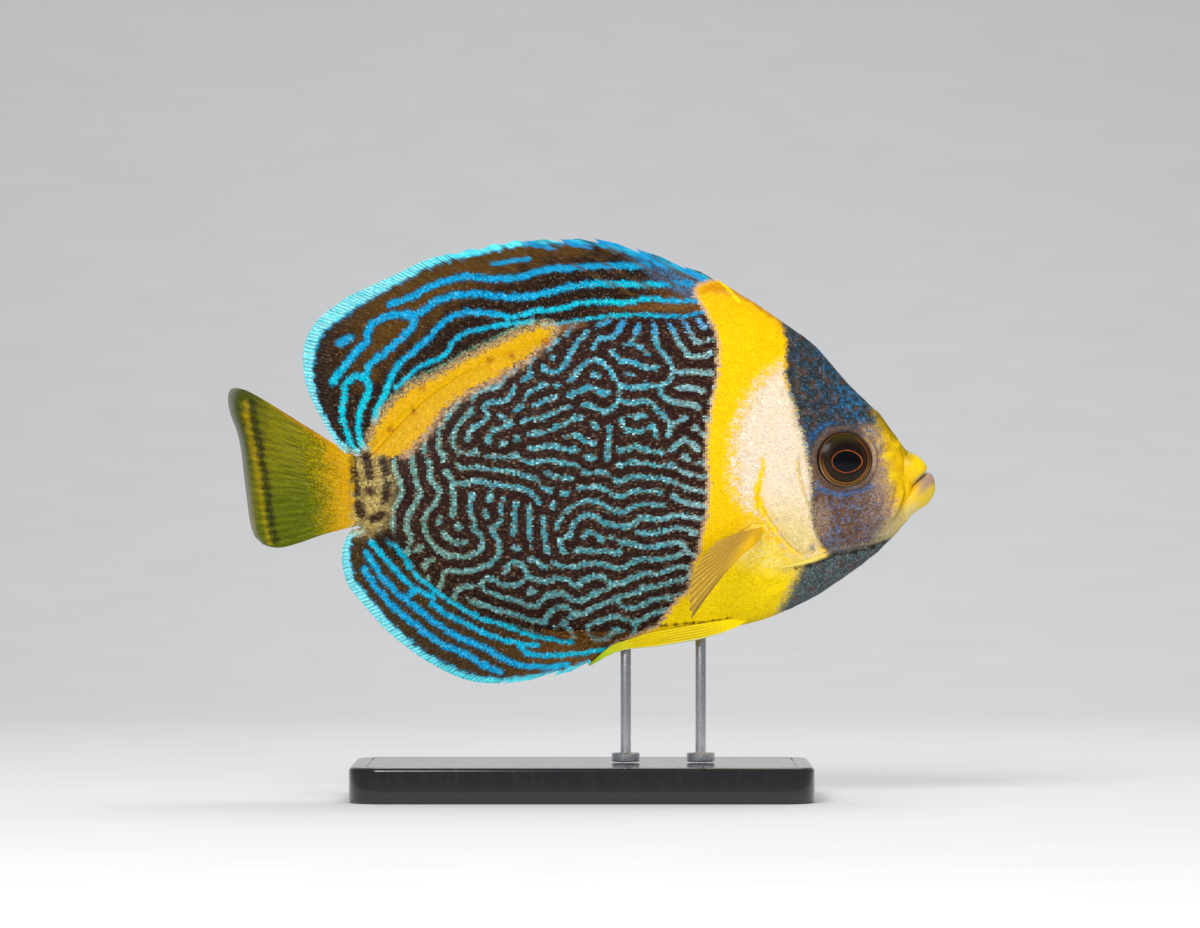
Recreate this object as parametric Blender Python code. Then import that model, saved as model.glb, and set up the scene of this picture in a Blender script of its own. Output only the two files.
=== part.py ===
"""A still, life-size model of a scribbled angelfish, swimming above a plain display stand.

The fish faces +X and lies along X, its right side faces -Y, and Z is up. The origin is the centre of
the stand's underside. Lengths are in metres. Outlines are in points: thousandths of the fish's length.
"""

import math

import bmesh
import bpy
from mathutils import Matrix, Vector

LENGTH = 0.200  # snout to tail tip
POINT = LENGTH / 1000
GAP = 0.0003  # between pieces that touch
BODY_WIDTH = 0.0292  # widest, at the shoulder
EYE_WIDTH = 0.0148  # across the iris
FIN_WEB = 0.00054  # thickness of a fin's membrane
FIN_RAY = 0.00090  # thickness over a ray
FIN_ROOT = 0.0024  # thickness where the back and belly run out into the fins
ROOT_REACH = 0.32  # the share of a fin over which it thickens to its root
TAIL_BEND = 0.010  # how far the tail tip swings to the fish's left
TAIL_TWIST = 0.005  # how much further its lower lobe swings than its upper
BASE_SIZE = (0.130, 0.076, 0.010)
BASE_CORNER = 0.010
BASE_BEVEL = 0.0012
ROD_WIDTH = 0.003
COLLAR_WIDTH = 0.008
COLLAR_HEIGHT = 0.0025
FIN_CLEARANCE = 0.022  # from the base's top to the lowest fin

ROD_PLACES = {"stand_rod_rear": 62, "stand_rod_front": 168}
LOWEST_FIN = -317
TAIL_TIP = -500
BEND_START = -150  # where the tail begins to swing aside
LOBES_MEET, LOBE_HEIGHT = 10, 120  # the tail fin's middle, and how far a lobe reaches from it
FISH_HEIGHT = BASE_SIZE[2] + FIN_CLEARANCE - LOWEST_FIN * POINT

# Where the body is parted, along X, in points.
SNOUT, NAPE_CUT, SHOULDER_CUT, STEM_CUT, TAIL_CUT = 458, 250, 178, -288, -324
HALF_CUT = GAP / POINT / 2
RING_STEPS = 14  # points down each side of a body ring

BACK_LINE = (
    (-329, 7), (-312, 8), (-293, 20), (-258, 58), (-215, 98), (-159, 135), (-95, 164), (-31, 188),
    (33, 207), (96, 224), (153, 238), (195, 243), (232, 231), (269, 207), (309, 179), (330, 163),
    (354, 136), (380, 106), (405, 82), (422, 65), (438, 44), (458, 16),
)  # fmt: skip
BELLY_LINE = (
    (-329, -91), (-307, -95), (-286, -107), (-251, -131), (-208, -163), (-159, -195), (-109, -222),
    (-59, -242), (-17, -253), (18, -257), (54, -257), (96, -254), (139, -249), (181, -242), (224, -233),
    (259, -224), (295, -209), (330, -192), (365, -169), (401, -143), (436, -112), (458, -87),
)  # fmt: skip
# Half the body's width, as a share of the widest half.
WIDTH_LINE = (
    (-329, 0.12), (-280, 0.24), (-220, 0.40), (-140, 0.57), (-60, 0.72), (20, 0.86), (100, 0.96),
    (180, 1.0), (240, 0.98), (290, 0.92), (330, 0.84), (371, 0.73), (405, 0.60), (436, 0.46), (458, 0.34),
)  # fmt: skip
# How keeled the section is: 1 is an ellipse, and more draws the back and belly out thin.
KEEL_LINE = ((-329, 1.1), (-200, 1.35), (180, 1.35), (300, 1.05), (400, 0.85), (458, 0.8))
# Half the thickness left along the back and the belly.
EDGE_LINE = ((-329, 4.5), (-280, 5.5), (200, 5.5), (280, 3.5), (458, 3.0))

# Each spine's root along X, its tip, and how much of it stands free of the membrane behind.
DORSAL_SPINES = (
    (224, (190, 257), 7), (196, (143, 276), 10), (161, (76, 301), 13), (133, (16, 316), 14),
    (104, (-32, 315), 12), (76, (-81, 313), 7), (49, (-112, 309), 6), (21, (-145, 302), 6),
    (-4, (-180, 295), 4),
)  # fmt: skip
ANAL_SPINES = ((34, (8, -289), 5), (20, (-40, -305), 12), (-8, (-112, -317), 12))
# The soft rays' margin, from the last spine round to the fin's end.
DORSAL_MARGIN = (
    (-190, 293), (-222, 284), (-258, 267), (-293, 251), (-329, 234), (-350, 220), (-372, 203),
    (-386, 184), (-394, 163), (-396, 140), (-392, 111), (-382, 84), (-367, 56), (-350, 28), (-334, 14),
    (-318, 11),
)  # fmt: skip
ANAL_MARGIN = (
    (-118, -315), (-144, -314), (-173, -307), (-201, -294), (-229, -278), (-258, -256), (-279, -238),
    (-300, -215), (-318, -194), (-331, -177), (-338, -157), (-340, -135), (-336, -113), (-327, -99),
    (-314, -97),
)  # fmt: skip
# The tail fin's edges: from the stem along each, and down the rear between them.
TAIL_UPPER = (
    (-328, 6), (-350, 19), (-373, 34), (-408, 57), (-443, 80), (-466, 94), (-478, 100), (-491, 104),
)  # fmt: skip
TAIL_REAR = (
    (-491, 104), (-500, 101), (-503, 86), (-499, 65), (-490, 40), (-485, 16), (-481, -20),
    (-477, -55), (-473, -85), (-467, -106), (-456, -118),
)  # fmt: skip
TAIL_LOWER = ((-328, -90), (-373, -104), (-408, -117), (-430, -123), (-444, -122), (-456, -118))

DORSAL_SOFT_BASE = (-16, -306)
ANAL_SOFT_BASE = (-16, -306)
DORSAL_RAYS, ANAL_RAYS, TAIL_RAYS, PECTORAL_RAYS, PELVIC_RAYS = 20, 16, 15, 9, 5
DORSAL_FRONT = (236, Vector((214, 247)), False)  # the membrane ahead of the first spine
SPINE_FOOT = 5  # how far a spine's foot reaches to each side of its crest
FIN_PART = 1.5  # half the cut between the dorsal fin's two parts, along X
STEM_THICKNESS = (0.0009, 0.0006)  # half the tail fin's at its root: at the edges, and more between

UPPER_JAW = (
    # top, bottom, half width
    ((459.5, 14.5), (459.5, -44), 25), ((467, 11.5), (467.5, -37), 24.5), ((475, 7), (475, -29), 22),
    ((482, 1), (481.5, -22), 17.5), ((486.5, -4.5), (486, -16.5), 12), ((488.5, -9), (488, -13), 7),
)  # fmt: skip
LOWER_JAW = (
    ((459.5, -47), (459.5, -85), 24), ((467.5, -40), (468, -76), 24), ((475.5, -31.5), (478, -69), 22.5),
    ((483, -23.5), (488.5, -62), 19), ((489.5, -17.5), (495, -54), 15), ((495.5, -20), (499.3, -45), 10.5),
    ((499, -28), (500, -35), 5),
)  # fmt: skip
JAW_EDGE, JAW_KEEL, JAW_STEPS = 0.0004, 0.75, 8  # half the thickness of its edge, its keel, ring points
EYE_PLACE = (370.5, 2)
EYE_DEPTH = 0.0036  # half the flattened eyeball's thickness
EYE_PROUD = 0.0022  # how far it stands out of the head
EYE_RIM = 0.0008
NOSTRILS = (((425, 20), 0.0007), ((438, 33), 0.0006))  # place and radius
NOSTRIL_RIM, NOSTRIL_DEPTH = 0.0004, 0.0009
GILL_COVER = (
    (258, 0), (276, 9), (294, 7), (297, -8), (302, -33), (311, -61), (319, -87), (325, -104),
    (326, -122), (315, -131), (304, -127), (287, -112), (271, -90), (255, -64), (258, -34),
)  # fmt: skip
GILL_COVER_THICKNESS = 0.0009
GILL_COVER_EDGE = 0.0004
GILL_COVER_MIDDLE = Vector((291, -56))
CHEEK_RIDGE = ((303, 10), (303, -6), (308, -32), (316.5, -60), (325, -86), (331, -103), (346, -128))
CHEEK_SPINE = ((352, -130), (340, -134), (323, -140), (304, -145), (276, -150))
RIDGE_WIDTHS = (0.0002, 0.0004)  # half its width at the ends, and how much more between
SPINE_WIDTHS = (0.0002, 0.0008)  # half its width at the tip, and how much more at the root
RIDGE_STATIONS = 8

PECTORAL_UPPER = ((244, -98), (226, -97), (190, -112))  # root, bend and tip of the uppermost ray
PECTORAL_LOWER = ((242, -111), (208, -135), (154, -219))
PECTORAL_BULGE = (146, -160)  # the tips' line bulges towards this place
PECTORAL_FLARE = {"right": 0.0065, "left": 0.0080}
PECTORAL_CUP = 0.0012  # how far its middle bellies out
PECTORAL_ROOT, PELVIC_ROOT = 0.0007, 0.0006  # half the thickness at the root
PELVIC_SPREAD = 0.0030  # the least that a pelvic fin stands from the middle plane
PELVIC_UPPER = ((226, -221), (167, -230), (132, -236), (96, -243), (68, -252), (41, -262), (12, -287))
PELVIC_LOWER = ((240, -230), (195, -245), (167, -252), (139, -257), (110, -262), (54, -269), (10, -290))

GOLD = ((0.95, 0.66, 0.02, 1), 0.45)
OLIVE = ((0.38, 0.36, 0.01, 1), 0.5)
DUSK = ((0.11, 0.15, 0.22, 1), 0.45)
UMBER = ((0.05, 0.028, 0.022, 1), 0.4)
AZURE = ((0.02, 0.33, 0.75, 1), 0.45)
CREAM = ((0.85, 0.70, 0.52, 1), 0.45)
INK = ((0.012, 0.012, 0.018, 1), 0.08)
BLACK_LACQUER = ((0.02, 0.02, 0.022, 1), 0.3)
STEEL = ((0.62, 0.63, 0.65, 1), 0.28)


def clear_scene():
    for obj in list(bpy.data.objects):
        bpy.data.objects.remove(obj)


def finish_material(name, finish, metallic=0.0):
    colour, roughness = finish
    material = bpy.data.materials.new(name)
    material.use_nodes = True
    shader = material.node_tree.nodes["Principled BSDF"]
    shader.inputs["Base Color"].default_value = colour
    shader.inputs["Roughness"].default_value = roughness
    shader.inputs["Metallic"].default_value = metallic
    return material


def smooth_line(points):
    """A smooth curve through points in order, as a function of the share of its length."""
    spots = [Vector(p) for p in points]
    along = [0.0]
    for a, b in zip(spots, spots[1:]):
        along.append(along[-1] + (b - a).length)

    def at(share):
        reach = min(max(share, 0.0), 1.0) * along[-1]
        i = 0
        while i < len(spots) - 2 and along[i + 1] < reach:
            i += 1
        span = along[i + 1] - along[i]
        t = (reach - along[i]) / span
        before = spots[max(i - 1, 0)]
        after = spots[min(i + 2, len(spots) - 1)]
        leave = (spots[i + 1] - before) * (span / (along[i + 1] - along[max(i - 1, 0)]))
        arrive = (after - spots[i]) * (span / (along[min(i + 2, len(spots) - 1)] - along[i]))
        return (
            spots[i] * (2 * t**3 - 3 * t**2 + 1)
            + leave * (t**3 - 2 * t**2 + t)
            + spots[i + 1] * (3 * t**2 - 2 * t**3)
            + arrive * (t**3 - t**2)
        )

    return at


def smooth_height(points):
    """The second value of points in order of the first, as a smooth function of the first."""
    xs = [p[0] for p in points]
    zs = [p[1] for p in points]
    slopes = []
    for i in range(len(xs)):
        a, b = max(i - 1, 0), min(i + 1, len(xs) - 1)
        slopes.append((zs[b] - zs[a]) / (xs[b] - xs[a]))

    def at(x):
        x = min(max(x, xs[0]), xs[-1])
        i = 0
        while i < len(xs) - 2 and xs[i + 1] < x:
            i += 1
        span = xs[i + 1] - xs[i]
        t = (x - xs[i]) / span
        return (
            zs[i] * (2 * t**3 - 3 * t**2 + 1)
            + slopes[i] * span * (t**3 - 2 * t**2 + t)
            + zs[i + 1] * (3 * t**2 - 2 * t**3)
            + slopes[i + 1] * span * (t**3 - t**2)
        )

    return at


back = smooth_height(BACK_LINE)
belly = smooth_height(BELLY_LINE)
width_share = smooth_height(WIDTH_LINE)
keel = smooth_height(KEEL_LINE)
edge = smooth_height(EDGE_LINE)


def tail_swing(x, z=0.0):
    """How far the tail's bend carries a place to the fish's left, in metres."""
    share = max(0.0, (BEND_START - x) / (BEND_START - TAIL_TIP))
    below = max(-0.6, min(1.0, (LOBES_MEET - z) / LOBE_HEIGHT))
    spread = max(0.0, (TAIL_CUT - x) / (TAIL_CUT - TAIL_TIP))
    return TAIL_BEND * share**2 + TAIL_TWIST * spread * below


def placed(x, y, z):
    """A place on the fish from X and Z in points and Y in metres, with the tail's bend."""
    return Vector((x * POINT, y + tail_swing(x, z), FISH_HEIGHT + z * POINT))


def half_width(x):
    return BODY_WIDTH / 2 * width_share(x)


def side_depth(x, z):
    """How far the body's side lies from its middle plane at a place in its side view, in metres."""
    top, bottom = back(x), belly(x)
    height = (2 * z - top - bottom) / (top - bottom)
    bulge = math.sqrt(max(0.0, 1 - height**2)) ** keel(x)
    thin = edge(x) * POINT
    return thin + (half_width(x) - thin) * bulge


def section(top, bottom, half, thin, power, steps=RING_STEPS):
    """A ring of places round a body section between two points of its side view."""
    right = []
    for k in range(steps + 1):
        angle = math.pi * k / steps
        share = (1 + math.cos(angle)) / 2
        x = bottom[0] + (top[0] - bottom[0]) * share
        z = bottom[1] + (top[1] - bottom[1]) * share
        y = thin + (half - thin) * math.sin(angle) ** power
        right.append((x, y, z))
    return [placed(x, -y, z) for x, y, z in right] + [placed(x, y, z) for x, y, z in reversed(right)]


def new_object(name, bm, material):
    bmesh.ops.recalc_face_normals(bm, faces=bm.faces)
    mesh = bpy.data.meshes.new(name)
    bm.to_mesh(mesh)
    bm.free()
    obj = bpy.data.objects.new(name, mesh)
    bpy.context.collection.objects.link(obj)
    if material:
        mesh.materials.append(material)
    mesh.shade_smooth()
    mesh.set_sharp_from_angle(angle=math.radians(40))
    return obj


def loft(name, rings, material):
    """A closed body through rings of equal count, with flat ends."""
    bm = bmesh.new()
    loops = [[bm.verts.new(p) for p in ring] for ring in rings]
    count = len(rings[0])
    for a, b in zip(loops, loops[1:]):
        for k in range(count):
            bm.faces.new((a[k], a[(k + 1) % count], b[(k + 1) % count], b[k]))
    bm.faces.new(loops[0])
    bm.faces.new(loops[-1])
    return new_object(name, bm, material)


def body_length(name, start, end, stations, material):
    """A length of the body between two cuts across it, in points."""
    rings = []
    for i in range(stations + 1):
        x = start + (end - start) * i / stations
        rings.append(section((x, back(x)), (x, belly(x)), half_width(x), edge(x) * POINT, keel(x)))
    return loft(name, rings, material)


def jaw(name, stations, material):
    """A jaw through stations of its top, its bottom and half its width."""
    rings = []
    for top, bottom, half in stations:
        rings.append(section(top, bottom, half * POINT, JAW_EDGE, JAW_KEEL, JAW_STEPS))
    return loft(name, rings, material)


def fuse(node, pieces):
    """Joins closed pieces to a node with one union, and keeps the node one body."""
    group = bpy.data.collections.new(node.name + "_pieces")
    bpy.context.scene.collection.children.link(group)
    for piece in pieces:
        bpy.context.collection.objects.unlink(piece)
        group.objects.link(piece)
    union = node.modifiers.new("join", "BOOLEAN")
    union.operation = "UNION"
    union.operand_type = "COLLECTION"
    union.collection = group
    apply_modifiers(node)
    for piece in pieces:
        bpy.data.objects.remove(piece)
    bpy.data.collections.remove(group)
    keep_largest(node)


def cut(node, cutters):
    """Takes each cutter's shape out of a node, and keeps the node one body."""
    for cutter in cutters:
        difference = node.modifiers.new("cut", "BOOLEAN")
        difference.operation = "DIFFERENCE"
        difference.object = cutter
    apply_modifiers(node)
    for cutter in cutters:
        bpy.data.objects.remove(cutter)
    keep_largest(node)


def apply_modifiers(obj):
    bpy.context.view_layer.update()
    graph = bpy.context.evaluated_depsgraph_get()
    made = bpy.data.meshes.new_from_object(obj.evaluated_get(graph), depsgraph=graph)
    obj.modifiers.clear()
    obj.data = made


def keep_largest(obj):
    """Drops every loose shell of a mesh but the one with most faces."""
    bm = bmesh.new()
    bm.from_mesh(obj.data)
    left, shells = set(bm.faces), []
    while left:
        seed = left.pop()
        shell, todo = {seed}, [seed]
        while todo:
            for side in todo.pop().edges:
                for face in side.link_faces:
                    if face in left:
                        left.remove(face)
                        shell.add(face)
                        todo.append(face)
        shells.append(shell)
    keep = max(shells, key=len)
    bmesh.ops.delete(bm, geom=[f for f in bm.faces if f not in keep], context="FACES")
    bm.to_mesh(obj.data)
    bm.free()


def side_frame(x, z, side, proud=0.0):
    """A frame on the body's side, Z along the way out of it and X forward, this proud of it."""
    step = 4
    spot = placed(x, side * side_depth(x, z), z)
    forward = placed(x + step, side * side_depth(x + step, z), z) - spot
    upward = placed(x, side * side_depth(x, z + step), z + step) - spot
    outward = (upward.cross(forward) * side).normalized()
    forward = (forward - outward * forward.dot(outward)).normalized()
    turn = Matrix((forward, outward.cross(forward), outward)).transposed().to_4x4()
    return Matrix.Translation(spot + outward * proud) @ turn


def ellipsoid(name, frame, radius, depth, segments, rings, material=None):
    """A ball flattened along its frame's Z."""
    bm = bmesh.new()
    bmesh.ops.create_uvsphere(bm, u_segments=segments, v_segments=rings, radius=1)
    bmesh.ops.transform(bm, matrix=frame @ Matrix.Diagonal((radius, radius, depth, 1)), verts=bm.verts)
    return new_object(name, bm, material)


def ring_bead(name, frame, radius, thickness, steps=24, sides=5):
    """A ring that lies round its frame's Z."""
    bm = bmesh.new()
    loops = []
    for i in range(steps):
        angle = 2 * math.pi * i / steps
        outward = Vector((math.cos(angle), math.sin(angle), 0))
        loop = []
        for k in range(sides):
            tilt = 2 * math.pi * k / sides
            spot = outward * (radius + thickness * math.cos(tilt))
            spot.z = thickness * math.sin(tilt)
            loop.append(bm.verts.new(frame @ spot))
        loops.append(loop)
    for a, b in zip(loops, loops[1:] + loops[:1]):
        for k in range(sides):
            bm.faces.new((a[k], a[(k + 1) % sides], b[(k + 1) % sides], b[k]))
    return new_object(name, bm, None)


def bead(name, places, radii, sides=6):
    """A tapered rod along places, with a point at its far end."""
    bm = bmesh.new()
    loops = []
    for i, (spot, radius) in enumerate(zip(places, radii)):
        ahead = places[min(i + 1, len(places) - 1)] - places[max(i - 1, 0)]
        across = ahead.cross(Vector((0, 1, 0))).normalized()
        out = across.cross(ahead).normalized()
        loop = []
        for k in range(sides):
            turn = 2 * math.pi * k / sides
            loop.append(bm.verts.new(spot + (across * math.cos(turn) + out * math.sin(turn)) * radius))
        loops.append(loop)
    for a, b in zip(loops, loops[1:]):
        for k in range(sides):
            bm.faces.new((a[k], a[(k + 1) % sides], b[(k + 1) % sides], b[k]))
    bm.faces.new(loops[0])
    bm.faces.new(loops[-1])
    return new_object(name, bm, None)


def make_head(material):
    """The head with its eyes' rims and sockets, nostrils, cheek ridges and cheek spines."""
    head = body_length("head", NAPE_CUT + HALF_CUT, SNOUT, 15, material)
    extras, pits = [], []
    shares = [i / RIDGE_STATIONS for i in range(RIDGE_STATIONS + 1)]
    ridge, spine = smooth_line(CHEEK_RIDGE), smooth_line(CHEEK_SPINE)
    for side in (-1, 1):
        rim = side_frame(*EYE_PLACE, side)
        extras.append(ring_bead("rim", rim, EYE_WIDTH / 2 + EYE_RIM * 0.4, EYE_RIM))
        socket = side_frame(*EYE_PLACE, side, EYE_PROUD - EYE_DEPTH)
        pits.append(ellipsoid("socket", socket, EYE_WIDTH / 2 + GAP, EYE_DEPTH + GAP, 24, 12))
        for place, radius in NOSTRILS:
            nostril = side_frame(*place, side)
            extras.append(ring_bead("nostril", nostril, radius, NOSTRIL_RIM, 8, 5))
            pits.append(ellipsoid("pit", nostril, radius * 0.6, NOSTRIL_DEPTH, 8, 5))
        thin, more = RIDGE_WIDTHS
        crest = [thin + more * math.sin(math.pi * min(1, s + 0.1)) for s in shares]
        extras.append(bead("ridge", [on_side(ridge(s), side, -thin / 2) for s in shares], crest, 5))
        thin, more = SPINE_WIDTHS
        taper = [thin + more * (1 - s) ** 0.7 for s in shares]
        extras.append(bead("spine", [on_side(spine(s), side, thin * 1.5) for s in shares], taper, 5))
    fuse(head, extras)
    cut(head, pits)
    return head


def on_side(spot, side, proud):
    """A place on the body's side, this proud of it."""
    return placed(spot.x, side * (side_depth(spot.x, spot.y) + proud), spot.y)


def make_eyes(material):
    for name, side in (("eye_right", -1), ("eye_left", 1)):
        frame = side_frame(*EYE_PLACE, side, EYE_PROUD - EYE_DEPTH)
        ellipsoid(name, frame, EYE_WIDTH / 2, EYE_DEPTH, 20, 10, material)


def make_gill_covers(material):
    """Plates that lie on the head, their rear edges free."""
    outline = smooth_line(GILL_COVER + GILL_COVER[:1])
    steps, ranks = 26, 3
    middle = GILL_COVER_MIDDLE
    for name, side in (("gill_cover_right", -1), ("gill_cover_left", 1)):
        bm = bmesh.new()
        layers = []
        for low, high in ((GAP, GAP), (GAP + GILL_COVER_EDGE, GAP + GILL_COVER_THICKNESS)):
            hub = on_side(middle, side, high)
            rows = []
            for rank in range(1, ranks + 1):
                share = rank / ranks
                lift = high + (low - high) * share**3
                spots = [middle + (outline(k / steps) - middle) * share for k in range(steps)]
                rows.append([bm.verts.new(on_side(p, side, lift)) for p in spots])
            layers.append((bm.verts.new(hub), rows))
        for hub, rows in layers:
            for k in range(steps):
                after = (k + 1) % steps
                bm.faces.new((hub, rows[0][k], rows[0][after]))
                for inner, outer in zip(rows, rows[1:]):
                    bm.faces.new((inner[k], outer[k], outer[after]))
                    bm.faces.new((inner[k], outer[after], inner[after]))
        low_edge, high_edge = layers[0][1][-1], layers[1][1][-1]
        for k in range(steps):
            after = (k + 1) % steps
            bm.faces.new((low_edge[k], low_edge[after], high_edge[after], high_edge[k]))
        new_object(name, bm, material)


def sheet(name, columns, thicknesses, material):
    """A thin fin: columns of places from root to margin, and the half thickness at each place."""
    bm = bmesh.new()
    count, rows = len(columns), len(columns[0])
    sides = ([], [])
    for i in range(count):
        for face in sides:
            face.append([])
        for j in range(rows):
            along = columns[i][min(j + 1, rows - 1)] - columns[i][max(j - 1, 0)]
            over = columns[min(i + 1, count - 1)][j] - columns[max(i - 1, 0)][j]
            normal = along.cross(over).normalized() * thicknesses[i][j]
            sides[0][i].append(bm.verts.new(columns[i][j] + normal))
            sides[1][i].append(bm.verts.new(columns[i][j] - normal))
    for face in sides:
        for i in range(count - 1):
            for j in range(rows - 1):
                bm.faces.new((face[i][j], face[i + 1][j], face[i + 1][j + 1]))
                bm.faces.new((face[i][j], face[i + 1][j + 1], face[i][j + 1]))
    right, left = sides
    for i in range(count - 1):
        for j in (0, rows - 1):
            bm.faces.new((right[i][j], right[i + 1][j], left[i + 1][j], left[i][j]))
    for j in range(rows - 1):
        for i in (0, count - 1):
            bm.faces.new((right[i][j], right[i][j + 1], left[i][j + 1], left[i][j]))
    return new_object(name, bm, material)


def ray_columns(rays, foot=0.28):
    """Places across a fin, as shares of its width, with whether each is on a ray's crest."""
    found = []
    for i in range(rays):
        middle = (i + 0.5) / rays
        reach = foot / rays
        found += [(middle - reach, False), (middle, True), (middle + reach, False)]
    found[0] = (0.0, False)
    found[-1] = (1.0, False)
    return found


def web_thickness(crest, share, root):
    """Half a fin's thickness at a share of the way from root to margin, swelling towards the root."""
    if crest:
        full = FIN_RAY / 2 * (1 - 0.35 * share)
    else:
        full = FIN_WEB / 2 * (1 - 0.12 * share)
    swell = max(0.0, 1 - share / ROOT_REACH)
    return full + (root - full) * swell**1.5


def spine_ribs(spines, body_line, sign):
    """The columns of a fin's spiny part: root along X, tip, and whether it is a crest.

    The membrane reaches almost to each spine's tip in front, and leaves its free length behind.
    """
    ribs = []
    for n, (root, tip, free) in enumerate(spines):
        tip = Vector(tip)
        down = (Vector((root, body_line(root))) - tip).normalized()
        held = tip + down * free + Vector((-3, 0))
        ribs.append((root + SPINE_FOOT, tip + Vector((4, -2 * sign)), False))
        ribs.append((root, tip, True))
        ribs.append((root - SPINE_FOOT, held, False))
        if n + 1 < len(spines):
            after, ahead, _ = spines[n + 1]
            between = held.lerp(Vector(ahead), 0.5) + Vector((0, 3 * sign))
            ribs.append(((root + after) / 2, between, False))
    return ribs


def soft_ribs(base, margin, rays):
    path = smooth_line(margin)
    start, end = base
    return [(start + (end - start) * share, path(share), crest) for share, crest in ray_columns(rays)]


def median_fin(name, body_line, sign, ribs, rows, material):
    """The dorsal or anal fin, or a part of it, in the fish's middle plane."""
    columns, thicknesses = [], []
    for x, tip, crest in ribs:
        slope = body_line(x + 1) - body_line(x - 1)
        lean = Vector((-slope * sign, 2 * sign)).normalized() * (GAP / POINT)
        root = Vector((x, body_line(x))) + lean
        column, thick = [], []
        for j in range(rows + 1):
            t = (j / rows) ** 1.15
            spot = root.lerp(tip, t)
            column.append(placed(spot.x, 0.0, spot.y))
            thick.append(web_thickness(crest, t, FIN_ROOT / 2))
        columns.append(column)
        thicknesses.append(thick)
    return sheet(name, columns, thicknesses, material)


def make_median_fins(material):
    shift = Vector((FIN_PART, 0))
    spines = [DORSAL_FRONT, *spine_ribs(DORSAL_SPINES, back, 1)]
    rays = soft_ribs(DORSAL_SOFT_BASE, DORSAL_MARGIN, DORSAL_RAYS)
    cut_x, cut_tip, _ = rays[0]
    spines.append((cut_x + FIN_PART, cut_tip + shift, False))
    rays[0] = (cut_x - FIN_PART, cut_tip - shift, False)
    median_fin("dorsal_fin_spiny", back, 1, spines, 5, material)
    median_fin("dorsal_fin_soft", back, 1, rays, 6, material)
    anal = spine_ribs(ANAL_SPINES, belly, -1) + soft_ribs(ANAL_SOFT_BASE, ANAL_MARGIN, ANAL_RAYS)
    median_fin("anal_fin", belly, -1, anal, 5, material)


def make_tail_fin(material):
    """The outermost rays follow the outline, the rest run straight between them."""
    upper, rear, lower = smooth_line(TAIL_UPPER), smooth_line(TAIL_REAR), smooth_line(TAIL_LOWER)
    edge_root, more = STEM_THICKNESS
    rows = 6
    columns, thicknesses = [], []
    for across, crest in ray_columns(TAIL_RAYS, 0.3):
        root = Vector((TAIL_CUT - HALF_CUT, back(TAIL_CUT) + (belly(TAIL_CUT) - back(TAIL_CUT)) * across))
        tip = rear(across)
        column, thick = [], []
        for j in range(rows + 1):
            t = j / rows
            upper_bow = upper(t) - upper(0).lerp(upper(1), t)
            lower_bow = lower(t) - lower(0).lerp(lower(1), t)
            spot = root.lerp(tip, t) + upper_bow * max(0, 1 - 3 * across)
            spot += lower_bow * max(0, 3 * across - 2)
            column.append(placed(spot.x, 0.0, spot.y))
            thick.append(web_thickness(crest, t, edge_root + more * math.sin(math.pi * across)))
        columns.append(column)
        thicknesses.append(thick)
    return sheet("tail_fin", columns, thicknesses, material)


def bezier(places, t):
    a, b, c = (Vector(p) for p in places)
    return a * (1 - t) ** 2 + b * 2 * t * (1 - t) + c * t**2


def make_pectoral(name, side, flare, material):
    """A fin rooted on the side behind the gill cover, sweeping back and away from the body."""
    rows = 6
    uppermost = [bezier(PECTORAL_UPPER, j / rows) for j in range(rows + 1)]
    lowest = [bezier(PECTORAL_LOWER, j / rows) for j in range(rows + 1)]
    chord = (uppermost[-1] + lowest[-1]) / 2
    columns, thicknesses = [], []
    for across, crest in ray_columns(PECTORAL_RAYS):
        root = uppermost[0].lerp(lowest[0], across)
        column, thick = [], []
        for j in range(rows + 1):
            t = j / rows
            spot = uppermost[j].lerp(lowest[j], across)
            spot += (Vector(PECTORAL_BULGE) - chord) * t**2 * 4 * across * (1 - across)
            stand_off = side_depth(root.x, root.y) + GAP + PECTORAL_ROOT * 0.6
            outward = stand_off + flare * math.sin(t * math.pi / 2)
            outward += PECTORAL_CUP * t * math.sin(math.pi * across)
            column.append(placed(spot.x, side * outward, spot.y))
            thick.append(web_thickness(crest, t, PECTORAL_ROOT) * (1 - 0.1 * t))
        columns.append(column)
        thicknesses.append(thick)
    return sheet(name, columns, thicknesses, material)


def make_pelvic(name, side, material):
    """A long fin laid back along the belly, just clear of it."""
    upper, lower = smooth_line(PELVIC_UPPER), smooth_line(PELVIC_LOWER)
    rows = 7
    columns, thicknesses = [], []
    for across, crest in ray_columns(PELVIC_RAYS + 1):
        column, thick = [], []
        for j in range(rows + 1):
            t = j / rows
            top = upper(t)
            spot = top.lerp(lower(t), across)
            hug = side_depth(top.x, max(top.y, belly(top.x) + 3)) + GAP + FIN_RAY * 0.55
            outward = max(hug, PELVIC_SPREAD) * (1 - 0.15 * across)
            column.append(placed(spot.x, side * outward, spot.y))
            thick.append(web_thickness(crest, t, PELVIC_ROOT) * (1 - 0.35 * t**3))
        columns.append(column)
        thicknesses.append(thick)
    return sheet(name, columns, thicknesses, material)


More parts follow.
